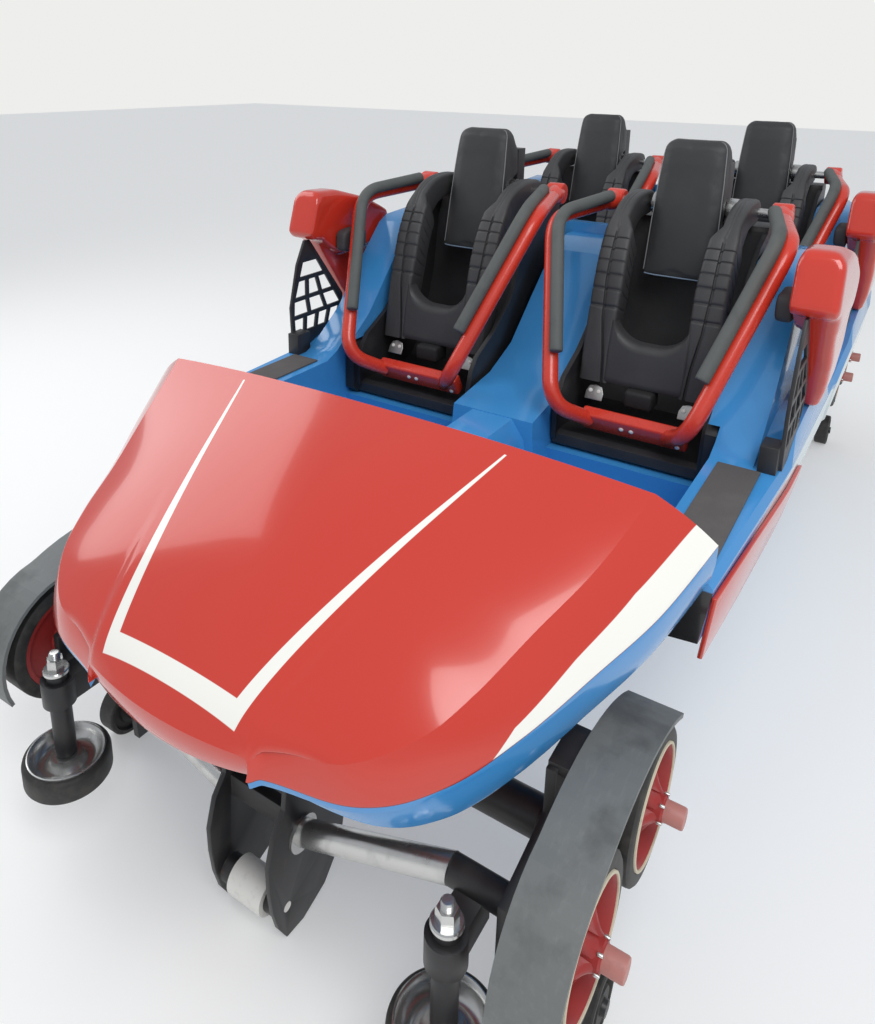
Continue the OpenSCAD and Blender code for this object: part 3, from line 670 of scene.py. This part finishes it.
def hood_surface():
    """Nose: the crown falls as a power of the way out to the crease, then a flat band; the chin is upright.

    A low fold runs along the outside of the stripes, and the crease steps back where the fold meets the chin.
    Returns outer and inner points, how far each is past the wedge's edge, and the columns of the creases."""
    k = np.concatenate([np.linspace(0, 5, 61), np.linspace(5, 6, 34)[1:]])
    h = spline(HOOD, k)[:, None, :]
    v = np.concatenate([np.linspace(0, 0.972, 44)[1:], [0.99, 1.0]])[None, :, None]
    across = [h[..., 0:1] + (h[..., 2:3] - h[..., 0:1]) * v**2, h[..., 3:4] * v]
    crown = np.concatenate([*across, h[..., 1:2] + (h[..., 4:5] - h[..., 1:2]) * v**CROWN_POWER], -1)
    w = np.array([0.02, 0.06, 0.15, 0.28, 0.42, 0.56, 0.7, 0.84, 0.94, 1.0])[None, :, None]
    band = h[..., 2:5] + (h[..., 5:8] - h[..., 2:5]) * w + BAND_BULGE * np.sin(np.pi * w) * [0, 1, 1]
    centre = np.concatenate([h[..., 0:1], 0 * h[..., 0:1], h[..., 1:2]], -1)
    inside = step(FOLD_Y - (crown[..., 0] - 1000 * STRIPE_FROM) * FOLD_TAPER - crown[..., 1], -6, 6)
    rise = FOLD_HEIGHT * step(crown[..., 0], FOLD_START, FOLD_WHOLE)
    crown[..., 2] += rise * inside * (1 - v[..., 0] ** 30)
    centre[..., 2] += FOLD_HEIGHT * step(centre[..., 0], FOLD_START, FOLD_WHOLE)
    half = np.concatenate([crown, band], 1)
    near = np.concatenate([v.ravel() ** 6, 1 - 0.5 * w.ravel()])
    back = near * step(half[..., 1], *NOTCH_Y[:2]) * (1 - step(half[..., 1], *NOTCH_Y[2:]))
    half = half + back[..., None] * NOTCH
    rows = np.concatenate([half[:, ::-1] * [1, -1, 1], centre, half], 1)
    last = rows[-1]
    low = CHIN_BOTTOM + CHIN_RISE * (last[:, 1] / CHIN_Y) ** 2
    down = np.stack([0 * low, 0 * low, low - last[:, 2]], -1)
    rows = np.concatenate([rows, np.stack([last + [[x, 0, 0]] + down * share for x, share in CHIN_TURN])], 0)
    inner = rows - np.array([0.25 * SKIN, 0, SKIN])
    inner[CHIN_ROW:] = rows[CHIN_ROW:] - np.array([SKIN, 0, 0])
    edge = np.interp(np.concatenate([k, [k[-1]] * len(CHIN_TURN)]), *np.array(WEDGE).T)
    out = np.concatenate([np.full(v.size, -2.0), w.ravel()])
    past = np.concatenate([out[::-1], [-2.0], out])[None, :] - edge[:, None]
    return rows, inner, past, (w.size, w.size + 2 * v.size)


def hood():
    """The nose as a closed shell, its crease and chin sharp.

    The attribute wedge is above 0 where the side band is white, and rim marks the side edge's thickness."""
    outer, inner, past, creases = hood_surface()
    n, m = outer.shape[:2]
    points = np.concatenate([outer.reshape(-1, 3), inner.reshape(-1, 3)])
    faces = grid_form(outer)[1]
    k = n * m
    faces = faces + [[q + k for q in face[::-1]] for face in faces]
    rim = [i * m for i in range(n)] + [(n - 1) * m + j for j in range(1, m)]
    rim += [i * m + m - 1 for i in range(n - 2, -1, -1)] + [j for j in range(m - 2, 0, -1)]
    faces += [[a, b, b + k, a + k] for a, b in zip(rim, rim[1:] + rim[:1])]
    piece = make("nose_shell", (spot(points), faces), "hood", sharp=40,
                 stands_for=("nose_hood",), merge=False)
    at_edge = np.zeros((n, m))
    at_edge[:CHIN_ROW, [0, -1]] = 1
    for name, values in (
        ("wedge", np.concatenate([past.ravel(), np.full(k, -3.0)])),
        ("rim", np.concatenate([np.zeros(k), at_edge.ravel()])),
    ):
        marks = piece.data.attributes.new(name, "FLOAT", "POINT")
        marks.data.foreach_set("value", values.astype(np.float32))
    for edge in piece.data.edges:
        a, b = edge.vertices
        along_crease = a < k and b < k and a % m == b % m and a % m in creases
        along_chin = a < k and b < k and a // m == b // m == n + CHIN_ROW
        if along_crease or along_chin:
            edge.use_edge_sharp = True


hood()


LIP_GAP = 0.3
LIP_BOTTOM = 660
LIP_ROWS = 60


def lip():
    """Blue lip under the nose's edge: a slanted strip that crosses behind the chin.

    Its depth falls as the fifth power of the way to the chin."""
    h = spline(HOOD, np.linspace(0, len(HOOD) - 1 - 1 / 3, LIP_ROWS))
    f = np.linspace(0, 1, LIP_ROWS)
    deep = HOOD[0][7] - SKIN - 2 * LIP_GAP - LIP_BOTTOM
    x = h[:, 5] - 5 - 16 * f**8
    top = np.stack([x, h[:, 6] - LIP_GAP, h[:, 7] - SKIN - LIP_GAP], -1)
    fall = deep + 26 * f * (1 - f) - (deep - 12) * f**5
    foot = np.stack([x - 12, h[:, 6] - 10, top[:, 2] - fall], -1)
    top, foot = (np.concatenate([p, p[::-1] * [1, -1, 1]]) for p in (top, foot))
    w = np.stack([0.35 + 0 * top[:, 1], top[:, 1] / 700, 0 * top[:, 1]], -1)
    w = w / np.linalg.norm(w, axis=1)[:, None] * SKIN
    roll = [top, top * 0.6 + foot * 0.4 + w * 0.12, foot + [0, 0, 8], foot - w * 0.2, foot - w, top - w]
    form = grid_form(np.stack(roll, 1), ring=True, ends=True)
    make("nose_lip_skin", in_metres(form), "blue", sharp=45, stands_for=("nose_lip",))


lip()

# Moulded body and frame: CAD forms with rounded edges

softened("tub_front", "band_and_shade", 0.014, 4)
softened("tub_rear", "band_and_shade", 0.014, 4)
softened("side_skirts", "red", 0.004)
softened("step_pads", "step", 0.0015)
softened("seat_shells", "seat", 0.007, 4)
moulded("side_pods", "red", 0.006, 50)
softened("lattice_guards", "seat", 0.002, 2)
softened("wheel_carriers", "frame", 0.002, 2)
softened("coupler_plates", "frame", 0.002, 2)
softened("coupler_rear", "steel", 0.002, 2)
softened("chassis_frame", "frame", 0.003, 2)
for node, paint in (
    ("axle_beams", "frame"),
    ("tie_tubes", "bright"),
    ("coupler_roller", "white"),
    ("hinge_shafts", "bright"),
    ("fenders", "fender"),
):
    paint_node(node, paint)
for number in range(1, 5):
    paint_node(f"upstop_wheel_{number}", "tyre")


# Wheels, in (radius, height) rows about their own axis; a running wheel's height counts outward

STUB_R = 20.6
TREAD = [(137, -47), (162, -47), (168.5, -42), (169.8, -34), (169.8, 34), (168.5, 42), (162, 47), (137, 47)]
RING = [(129, 45), (135.8, 45), (135.8, 50), (133.5, 51.5), (130, 51), (129, 49)]
DISH = [(STUB_R, -47), (44, -47), (50, -30), (122, -32), (124, -44), (136, -46), (136, 45), (129.5, 48),
        (124, 40), (120, 6), (110, -6), (60, -2), (38, 14), (32, 40), (31, 66), (27, 70), (STUB_R, 70)]
CAP = [(STUB_R, 66), (24, 66), (24, 108), (22.5, 112), (20, 112.6), (0, 112.6), (0, 103), (STUB_R, 103)]
SCREW = [(3.8, 62), (3.8, 70), (2.6, 72.5), (0, 73)]
SCREW_CIRCLE = 32
VANES = 5
VANE_TURN, SCREW_TURN = 100, 36
# A vane's inner end and its length; its crest's height there, how far it falls and the power of its fall
VANE_R, VANE_LONG = 28, 95
CREST, CREST_FALL, CREST_POWER = 66, 58, 0.62


def vane(degrees):
    """One vane of a running wheel's hub, from the cap to the rim.

    Its crest falls as a power of the way out, and it narrows as the square of what is left of that way."""
    a = math.radians(degrees)
    t = np.linspace(0, 1, 14)
    r, crest, w = VANE_R + VANE_LONG * t, CREST - CREST_FALL * t**CREST_POWER, 5.5 + 8 * (1 - t) ** 2
    side = [(w + 12, -10), (w + 3, crest - 12), (w * 0.6, crest - 2)]
    outline = [(-u, high) for u, high in side] + [(0, crest)] + side[::-1]
    sin, cos = math.sin(a), math.cos(a)
    return carried([(sin * r + cos * u, high, cos * r - sin * u) for u, high in outline])


def running_wheel(number, x, side):
    """Tread, light ring, dished hub with its vanes, cap and screws of one running wheel."""
    body = f"running_wheel_{number}"
    turns = 360 / VANES

    def add(part, form, paint, sharp, **rest):
        form = form[0] + np.array([x, WHEEL_Y, WHEEL_R]), form[1]
        make(f"{body}_{part}", in_metres(for_side(form, side)), paint, body, sharp, **rest)

    def screw(degrees):
        a = math.radians(degrees)
        return turned(SCREW, [SCREW_CIRCLE * math.sin(a), 0, SCREW_CIRCLE * math.cos(a)], "y", 12)

    add("tyre", turned(TREAD, 0, "y", 96, closed=True), "tyre", 40, stands_for=(body,))
    add("ring", turned(RING, 0, "y", 96, closed=True), "ring", 60)
    dish = turned(DISH, 0, "y", 72, closed=True)
    add("hub", joined([dish] + [vane(VANE_TURN + turns * k) for k in range(VANES)]), "hub", 32)
    add("cap", turned(CAP, 0, "y", 40, closed=True), "cap", 32)
    add("screws", joined([screw(SCREW_TURN + turns * k) for k in range(VANES)]), "bright", 40)


for at_set, (x, side) in enumerate(SETS):
    running_wheel(2 * at_set + 1, x + WHEEL_DX, side)
    running_wheel(2 * at_set + 2, x - WHEEL_DX, side)


BOWL = [(19, -29), (42, -30), (48, -14), (84, -6), (92, -29), (99, -31), (99, 37), (96, 38), (92.5, 36),
        (88, 24), (78, 9), (62, 1), (50, 2), (44, 12), (40, 29), (19, 30)]
GUIDE_TREAD = [(99.2, -32), (108, -32), (111.8, -26), (111.8, 20), (109.5, 28), (104, 32), (99.2, 32)]
POST = [(0, -34), (27, -34), (27, 209), (26, 213), (24, 214.6), (0, 214.6)]
PIN = [(0, -114), (30, -114), (30, -106), (18, -104), (18, -33), (0, -33)]
WASHER = [(0, 215), (31, 215), (32.5, 217), (32.5, 224), (30, 227), (0, 227)]
NUT = [(0, 227), (23, 227), (23, 251), (21, 256), (0, 256.6)]
THREAD = [(0, 256)] + [(14 - 1.2 * (k % 2), 256 + k) for k in range(15)] + [(11, 273), (0, 273.6)]


def guide_wheel(number, x, side):
    """Dished steel hub in a black tread, turning under the fixed post."""
    body = f"guide_wheel_{number}"
    middle = np.array([x + GUIDE_DX, side * GUIDE_Y, GUIDE_Z])
    hub = in_metres(turned(BOWL, middle, "z", 72, closed=True))
    tread = in_metres(turned(GUIDE_TREAD, middle, "z", 96, closed=True))
    make(body + "_hub", hub, "bright", body, slot="guide", sharp=45, stands_for=(body,))
    make(body + "_tread", tread, "tyre", body, sharp=45)


def guide_post(number, x, side):
    """Black post with a steel washer, a castle nut and a threaded end on top; a plate under the wheel."""
    at = np.array([x + GUIDE_DX, side * GUIDE_Y, 0])

    def stack(*rows):
        return in_metres(joined([turned(profile, at, "z", sides) for profile, sides in rows]))

    make(f"guide_post_{number}", stack((POST, 40), (PIN, 32)), "frame", sharp=32,
         stands_for=("guide_posts",))
    make(f"guide_nut_{number}", stack((WASHER, 40), (NUT, 6), (THREAD, 24)), "bright", sharp=32)


for number, (x, side) in enumerate(SETS, 1):
    guide_wheel(number, x, side)
    guide_post(number, x, side)


# Restraints, in millimetres from the seat's pivot, y to the left of the seat's middle


def at_seat(form, x, side):
    return spot(form[0] + [x, side * SEAT_Y, PIVOT_Z]), form[1]


def both(form):
    """A form and its mirror image on the other side of the seat."""
    return joined([form, mirrored(form)])


KNUCKLE, CORNER = np.array([0.0, 280, 0]), np.array([366.0, 372, -26])
LOW, FOOT = np.array([676.0, 212, -556]), np.array([545.0, 128, -632])
RED_R = 25.5
SHAFT_R = 16.6
# The grip keeps that distance from the tube's middle, turned forward from the rider's side, in degrees
GRIP_R, GRIP_OFF, GRIP_TURN = 22, 43 * 1.09, 50


def red_path():
    """Centre line of the red tube on the left, from the knuckle to the plate."""
    return np.concatenate([[KNUCKLE], bend(KNUCKLE, CORNER, LOW, 85), bend(CORNER, LOW, FOOT, 88), [FOOT]])


def grip_path():
    """Centre line of the grip beside the tube, from the knuckle to three quarters of the way down."""
    side = np.array([KNUCKLE + [66, 20, 0], CORNER, CORNER + (LOW - CORNER) * 0.75])
    axis = (side[2] - side[1]) / np.linalg.norm(side[2] - side[1])
    inward = np.array([0, -1, 0]) - axis * -axis[1]
    inward /= np.linalg.norm(inward)
    turn = math.radians(GRIP_TURN)
    side += GRIP_OFF * (inward * math.cos(turn) + np.cross(inward, axis) * math.sin(turn))
    return np.concatenate([[side[0]], bend(*side, 80), [side[2]]])


def tilted(form, centre, degrees):
    """A form turned about y and then moved to a centre."""
    a = math.radians(degrees)
    turn = np.array([[math.cos(a), 0, math.sin(a)], [0, 1, 0], [-math.sin(a), 0, math.cos(a)]])
    return form[0] @ turn.T + centre, form[1]


# Corners of the saddle plate and of the vest's rubber foot; place and tilt of the plate and the left bracket
PLATE = (-22, -150, -36), (20, 184, 37)
RUBBER_FOOT = (388, -46, -600), (470, 46, -541)
PLATE_AT = ([536, 0, -632], 30)
EAR_AT = ([446, 154, -606], -28)
DRUM = [(SHAFT_R, -31), (34, -31), (39, -26), (39.8, 26), (37, 32), (30, 33.5), (0, 33.8), (0, 23),
        (SHAFT_R, 23)]
# Horn of the knuckle, as (distance along the tube, radius)
HORN = [(0, 36), (20, 35.5), (40, 34), (58, 31), (70, 28), (78, 26)]
BOLT_HEAD = [(0, 0), (7.5, 0), (7.2, 3), (4, 5.6), (0, 6.4)]
BOLTS = [(-16, 6), (16, 6), (158, 16), (158, -16)]
EAR = [(0, -30), (0, 30), (26, 30), (46, 21), (52, 0), (46, -21), (26, -30)]
EAR_SCREW = [(0, 3), (7, 3), (6.6, 6), (0, 8)]


def restraint_steel():
    """Red tubes, knuckles and saddle plate, white bolts, steel brackets with their screws.

    Each row: name, form, finish, what it replaces, and what else make() takes."""
    first = (CORNER - KNUCKLE) / np.linalg.norm(CORNER - KNUCKLE)
    horn = tube([KNUCKLE + first * d for d, _ in HORN], [r for _, r in HORN], 28)
    drum = turned(DRUM, KNUCKLE, "y", 40, closed=True)
    plate = tilted(block(*PLATE), *PLATE_AT)
    heads = [tilted(turned(BOLT_HEAD, [20, y, z], "x", 20), *PLATE_AT) for y, z in BOLTS]
    flat = np.array([[(x, y, z) for z, y in EAR] for x in (-3, 3)], float)
    ear = tilted(grid_form(flat, ring=True, ends=True), *EAR_AT)
    screws = [tilted(turned(EAR_SCREW, [0, y, 30], "x", 16), *EAR_AT) for y in (-14, 14)]
    red = joined([both(tube(red_path(), RED_R, 28)), both(joined([drum, horn]))])
    return [
        ("tubes", red, "enamel", "frame", dict(sharp=34)),
        ("plate", plate, "enamel", None, dict(bevel=0.009)),
        ("bolts", joined(heads), "white", None, dict(sharp=40)),
        ("brackets", both(ear), "steel", None, dict(bevel=0.0015)),
        ("screws", both(joined(screws)), "white", None, dict(sharp=40)),
    ]


# Torso shell: its outer and inner lines in x and z, one row for one, and the rib grooves as angles down
VEST_OUT = [(-34, 22), (-14, 42), (40, 48), (110, 46), (172, 34), (224, 10), (270, -28), (305, -72),
            (336, -128), (360, -190), (386, -280), (410, -380), (424, -455), (438, -543)]
VEST_IN = [(-34, -6), (-12, -34), (40, -40), (84, -42), (130, -52), (170, -80), (205, -118), (236, -164),
           (262, -215), (282, -268), (298, -322), (318, -400), (334, -470), (352, -543)]
GROOVES = [14 + 4.6 * k for k in range(6)]
GROOVE_DEEP, ARM_R = 4.5, 13
# Across the arm: angle down from the pivot, inner edge, the long groove, outer edge
ARM_Y = [[-60, 150, 178, 207], [2, 150, 178, 207], [9, 122, 170, 214], [30, 114, 168, 214],
         [40, 116, 160, 214], [47, 123, 142, 214], [52, 112, 134, 214], [90, 104, 134, 214]]
BIB_Y, BIB_BOTTOM, BIB_R, BIB_BACK = 129, -543, 14, 353
OPENING_Y, OPENING_Z, OPENING_R = 23, -302, 100


def vest_front(z):
    """x of the front face at a height."""
    table = np.array(VEST_OUT[::-1], float)[:11]
    return np.interp(z, table[:, 1], table[:, 0])


def vest_arm():
    """One arm: a rounded section from the inner line to the outer one, carried down from the shoulder.

    Its edges go by the angle down from the pivot. Ribs are cut across it, and a deep groove runs along it."""
    k = np.linspace(0, len(VEST_OUT) - 1, 4000)
    x, z = spline(VEST_OUT, k).T
    angle = np.degrees(np.arctan2(-z, x))
    start = np.argmax((angle > 5) & (k > 5))
    beside = (-0.55, -0.4, -0.18, 0.18, 0.4, 0.55)
    at = [np.interp(g + d, angle[start:], k[start:]) for g in GROOVES for d in beside]
    k = np.sort(np.concatenate([np.linspace(0, len(VEST_OUT) - 1, 110), at]))
    (xo, zo), (xi, zi) = spline(VEST_OUT, k).T, spline(VEST_IN, k).T
    turn = np.where(k > 1.2, np.degrees(np.arctan2(-zo, xo)), -60)
    angles, *edges = np.array(ARM_Y).T
    inner, ridge, outer = (np.interp(turn, angles, edge) for edge in edges)
    thick = np.hypot(xo - xi, zo - zi)
    cut = GROOVE_DEEP * np.max([1 - step(abs(turn - g), 0.2, 0.5) for g in GROOVES], axis=0)
    deep = 9 * step(turn, 8, 13) + 4 * step(turn, 38, 46)
    r = ARM_R
    arc = [(r, 0), (0.45 * r, 0.16 * r), (0.12 * r, 0.55 * r), (0, r)]
    face = [(inner + y, d) for y, d in arc[::-1]] + [(ridge - 9, 0), (ridge - 5, 1.5), (ridge - 3, deep)]
    face += [(ridge + 3, deep), (ridge + 5, 1.5), (ridge + 9, 0)] + [(outer - y, d) for y, d in arc]
    ring = [(y, thick - d - cut) for y, d in face]
    ring += [(outer - cut, 0.55 * thick), (outer, r), (outer - 0.3 * r, 0.3 * r), (outer - r, 0)]
    ring += [(inner + r, 0), (inner + 0.3 * r, 0.3 * r), (inner, r), (inner + cut, 0.55 * thick)]
    return carried([(xi + (xo - xi) / thick * d, y, zi + (zo - zi) / thick * d) for y, d in ring])


def vest_bib():
    """Panel between the arms: its front follows theirs, and its upper edge is a circle's arc, the lower end
    of the opening."""
    ends = [(-BIB_Y, 9), (3 - BIB_Y, 3)]
    flat = [(y, 0) for y in np.linspace(8 - BIB_Y, BIB_Y - 8, 61)]
    y, back = np.array(ends + flat + [(-y, back) for y, back in ends[::-1]]).T
    a = np.clip(abs(y) - OPENING_Y, 0, OPENING_R - 0.5)
    top = OPENING_Z - np.sqrt(OPENING_R**2 - a**2)
    foot, edge = vest_front(BIB_BOTTOM) - back, vest_front(top) - back
    rising = np.linspace(BIB_BOTTOM + BIB_R, top - 16, 12)
    falling = np.linspace(top - 40, BIB_BOTTOM + 4, 4)
    ring = [(foot - BIB_R, BIB_BOTTOM), (foot - 4, BIB_BOTTOM + 4)]
    ring += [(vest_front(z) + 2 - back, z) for z in rising]
    ring += [(edge - 3, top - 6), (edge - 12, top - 1), (edge - 24, top)]
    ring += [(BIB_BACK + 3, top - 2), (BIB_BACK + 1, top - 10)]
    ring += [(BIB_BACK, z) for z in falling] + [(BIB_BACK + 4, BIB_BOTTOM)]
    return carried([(x, y, z) for x, z in ring])


def grip():
    """The left grip, its ends rounded."""
    path = grip_path()
    along = np.concatenate([[0], np.cumsum(np.linalg.norm(np.diff(path, axis=0), axis=1))])
    end = along[-1]
    fine = np.concatenate([[0, 1.5, 4, 8], np.linspace(14, end - 14, 70), end - np.array([8, 4, 1.5, 0])])
    path = np.stack([np.interp(fine, along, path[:, c]) for c in range(3)], -1)
    radius = np.full(len(path), GRIP_R - 0.6)
    for place, less in enumerate((6, 3, 1.2)):
        radius[[place, -1 - place]] = GRIP_R - less
    return tube(path, radius, 24)


def restraint_soft():
    """Torso shell, its rubber foot and the two foam grips, in rows as those of restraint_steel()."""
    shell = joined([both(vest_arm()), vest_bib()])
    foam = dict(sharp=60)
    return [
        ("vest", shell, "vest", "vest", dict(sharp=42)),
        ("foot", block(*RUBBER_FOOT), "rubber", None, dict(bevel=0.012)),
        ("grip_left", grip(), "foam", "grips", foam),
        ("grip_right", mirrored(grip()), "foam", "grips", foam),
    ]


RESTRAINT = restraint_steel() + restraint_soft()
for x, side, number in SEATS:
    body = f"restraint_{number}"
    for name, form, paint, node, settings in RESTRAINT:
        stands_for = (f"restraint_{node}_{number}",) if node else ()
        piece = make(f"{body}_{name}", at_seat(form, x, side), paint, body, stands_for=stands_for, **settings)
        node == "grips"


# Cushions, in millimetres from the front pivot in plan and the rail's top: x of the head cushion's face and
# back, what its half width gains, and how far past HALF its piping runs, against z

FACE = [(1030, 174), (1100, 160), (1200, 140), (1300, 121), (1400, 101), (1450, 88), (1470, 82)]
BACK = [(1020, 84), (1100, 66), (1290, 47), (1302, -46), (1395, -46), (1440, -6), (1478, 26)]
GAIN = [(1022, 12), (1100, 12.5), (1200, 11.5), (1300, 8.5), (1380, 4), (1440, 0)]
PIPING_OUT = [(1044, 11), (1200, 10), (1300, 7), (1420, 0)]
HALF, CORNER_Z, CORNER_R, PIPING_R = 107, 1438, 40, 39
# Thickness of the front half, how far its face is crowned, and half length of the hem
FRONT_THICK, FACE_CROWN, HEM_Y = 34, 4, 110
# Heights of the cushion's rows, then the height and reach of its rounded foot and of the top's roll
ROWS_Z = [1022, 1026, 1032, *np.linspace(1042, 1440, 40), 1450, 1460, 1468, 1474, 1477]
FOOT_Z, FOOT_EDGE = 1020, 10
ROLL_Z, ROLL_HIGH = 1452, 26
# How far the top is raised above the part's, from where and over what height
RAISE, RAISE_Z, RAISE_HIGH = 8, 1300, 178


def at_height(table, z):
    return np.interp(z, *np.array(table, float).T)


def top_roll(z):
    """How far the cushion's top has rolled back at a height, 1 at its end."""
    return np.maximum(0, (z - ROLL_Z) / ROLL_HIGH) ** 2


def raised(z):
    """Heights of the cushion, whose top stands above the part's."""
    return z + RAISE * np.clip((z - RAISE_Z) / RAISE_HIGH, 0, 1)


def squared(power, sides):
    """Points around a square from -1 to 1, where the powers of their two numbers add up to 1.

    A higher power leaves the corners sharper."""
    a = np.linspace(0, 2 * np.pi, sides, endpoint=False)
    u, w = np.cos(a), np.sin(a)
    s = (abs(u) ** power + abs(w) ** power) ** (-1 / power)
    return u * s, w * s


def head_cushion():
    """Tall cushion over its height and around it: a rounded outline in y and z, thick from back to face.

    The face is crowned as a square, the foot is rounded, and the top rolls back."""
    z = np.array(ROWS_Z)[:, None]
    y, ahead = squared(5, 56)
    near_foot = 1 - np.minimum((z - FOOT_Z) / FOOT_EDGE, 1)
    top = np.maximum(z - CORNER_Z, 0)
    half = HALF - CORNER_R + np.sqrt(np.maximum(CORNER_R**2 - top**2, 1))
    half = half + at_height(GAIN, z) - 6 * (1 - np.sqrt(1 - near_foot**2))
    pull = top_roll(z) * 22 + near_foot**2 * 10
    back = at_height(BACK, z) + pull * 0.2
    depth = at_height(FACE, z) - back - pull
    # The front half has one thickness, and the back half takes what is left
    deep = np.where(ahead > 0, FRONT_THICK * (1 - ahead), FRONT_THICK - (depth - FRONT_THICK) * ahead)
    crown = FACE_CROWN * (1 - y**2) * np.maximum(ahead, 0)
    return grid_form(grid_of(back + depth - deep + crown - 3, y * half, raised(z)), ring=True, ends=True)


def head_piping():
    """Line of the piping around the cushion's face: up one side, over two corner arcs and down the other."""
    side, a = np.arange(1044, 1409, 13), np.linspace(0.1, math.pi / 2, 8)
    z = np.concatenate([side, CORNER_Z + PIPING_R * np.sin(a)])
    y = np.concatenate([HALF + at_height(PIPING_OUT, side), HALF - CORNER_R + PIPING_R * np.cos(a)])
    z, y = np.concatenate([z, z[::-1]]), np.concatenate([y, -y[::-1]])
    return grid_of(at_height(FACE, z) - 12 - top_roll(z) * 20, y, raised(z))


def head_hem():
    """Line of the pale piping along the cushion's lower edge, bent back as a fourth power of the way out."""
    y = np.linspace(-HEM_Y, HEM_Y, 33)
    return grid_of(FACE[0][1] - 6 * (y / HEM_Y) ** 4, y, FACE[0][0])


def laid_on(path, form, lift):
    """A path in millimetres moved to the nearest places on a form's surface and lifted off it, in metres."""
    skin = BVHTree.FromPolygons([Vector(p) for p in form[0]], form[1])
    laid = []
    for p in path / 1000:
        place, normal = skin.find_nearest(Vector(p))[:2]
        laid.append(place + normal * lift)
    laid = np.array(laid)
    for _ in range(3):
        laid[1:-1] = 0.25 * laid[:-2] + 0.5 * laid[1:-1] + 0.25 * laid[2:]
    return laid


CUSHION = head_cushion()
CUSHION = swelled((CUSHION[0] / 1000, CUSHION[1]), voxel=0.0055, cap=0.003, start=0.001)
HEM = tube(laid_on(head_hem(), CUSHION, 0.0008), 0.0026, 8)
PIPING = tube(laid_on(head_piping(), CUSHION, 0.0006), 0.0021, 8)
for x, side, number in SEATS:
    place = spot([x, side * SEAT_Y, 0])
    cushion = make(f"head_cushion_{number}", (CUSHION[0] + place, CUSHION[1]), "cushion", sharp=60,
                   stands_for=("headrests",))
    for name, line, paint in (("hem", HEM, "hem"), ("piping", PIPING, "seam")):
        make(f"head_{name}_{number}", (line[0] + place, line[1]), paint, sharp=70)


# Side pad: middle and half size in x and z, y of its outer face, thickness, how deep and wide its edges round
PAD_X, PAD_Z, PAD_HALF_X, PAD_HALF_Z, PAD_Y = 406, 1059, 75, 46, 815.4
PAD_THICK, PAD_EDGE, PAD_ROUND = 51, 12, 9


def pod_pad():
    """Dark pad on the left front pod's inner side: a rounded square carried through its thickness.

    It shrinks toward both faces as the square of what is left of the edge."""
    d = np.array([0, 1.5, 5, *np.linspace(12, 44, 6), 49, PAD_THICK])[:, None]
    u, w = squared(4, 48)
    inset = sum(PAD_ROUND * np.maximum(0, 1 - (near + 1) / PAD_EDGE) ** 2 for near in (d, PAD_THICK - d))
    grid = grid_of(PAD_X + u * (PAD_HALF_X - inset), PAD_Y - d, PAD_Z + w * (PAD_HALF_Z - inset))
    points, faces = grid_form(grid, ring=True, ends=True)
    return swelled((points / 1000, faces), voxel=0.004, cap=0.004)


PAD = pod_pad()
for x, side, number in SEATS:
    points, faces = for_side(PAD, side)
    pad = make(f"side_pad_{number}", (points + spot([x, 0, 0]), faces), "pad", sharp=60,
               stands_for=("pod_pads",))


# Floor and light

FLOOR_HALF = 30


def floor():
    """Pale floor under the lowest wheels."""
    mesh = bpy.data.meshes.new("floor")
    s = FLOOR_HALF
    mesh.from_pydata([(-s, -s, 0), (s, -s, 0), (s, s, 0), (-s, s, 0)], [], [(0, 1, 2, 3)])
    piece = bpy.data.objects.new("floor", mesh)
    bpy.context.scene.collection.objects.link(piece)
    glow = dict(Emission_Color=linear(255, 255, 255), Emission_Strength=0.24)
    paint = Paint("floor", linear(226, 226, 224), 0.9, **glow)
    mesh.materials.append(paint.done())


def light():
    """Soft daylight from the sky, a broad lamp above the nose's left and a weaker one from the right."""
    world = bpy.data.worlds.new("sky")
    bpy.context.scene.world = world
    world.use_nodes = True
    nodes, links = world.node_tree.nodes, world.node_tree.links
    sky = nodes["Background"]
    sky.inputs["Color"].default_value = linear(236, 240, 246)
    sky.inputs["Strength"].default_value = 0.66
    seen = nodes.new("ShaderNodeBackground")
    seen.inputs["Color"].default_value = linear(238, 238, 236)
    seen.inputs["Strength"].default_value = 1.0
    path = nodes.new("ShaderNodeLightPath")
    choose = nodes.new("ShaderNodeMixShader")
    links.new(path.outputs["Is Camera Ray"], choose.inputs[0])
    links.new(sky.outputs[0], choose.inputs[1])
    links.new(seen.outputs[0], choose.inputs[2])
    links.new(choose.outputs[0], nodes["World Output"].inputs["Surface"])
    for name, place, aim, size, power in (
        ("key", (3.4, 2.6, 5.2), (0.4, 0.0, 0.9), 3.0, 150),
        ("fill", (1.0, -4.5, 4.0), (0.2, 0.0, 0.9), 3.5, 75),
    ):
        data = bpy.data.lights.new(name, "AREA")
        data.size = size
        data.energy = power
        lamp = bpy.data.objects.new(name, data)
        lamp.location = place
        lamp.rotation_euler = (Vector(aim) - Vector(place)).to_track_quat("-Z", "Y").to_euler()
        bpy.context.scene.collection.objects.link(lamp)
    bpy.context.scene.view_settings.view_transform = "Standard"


floor()
light()
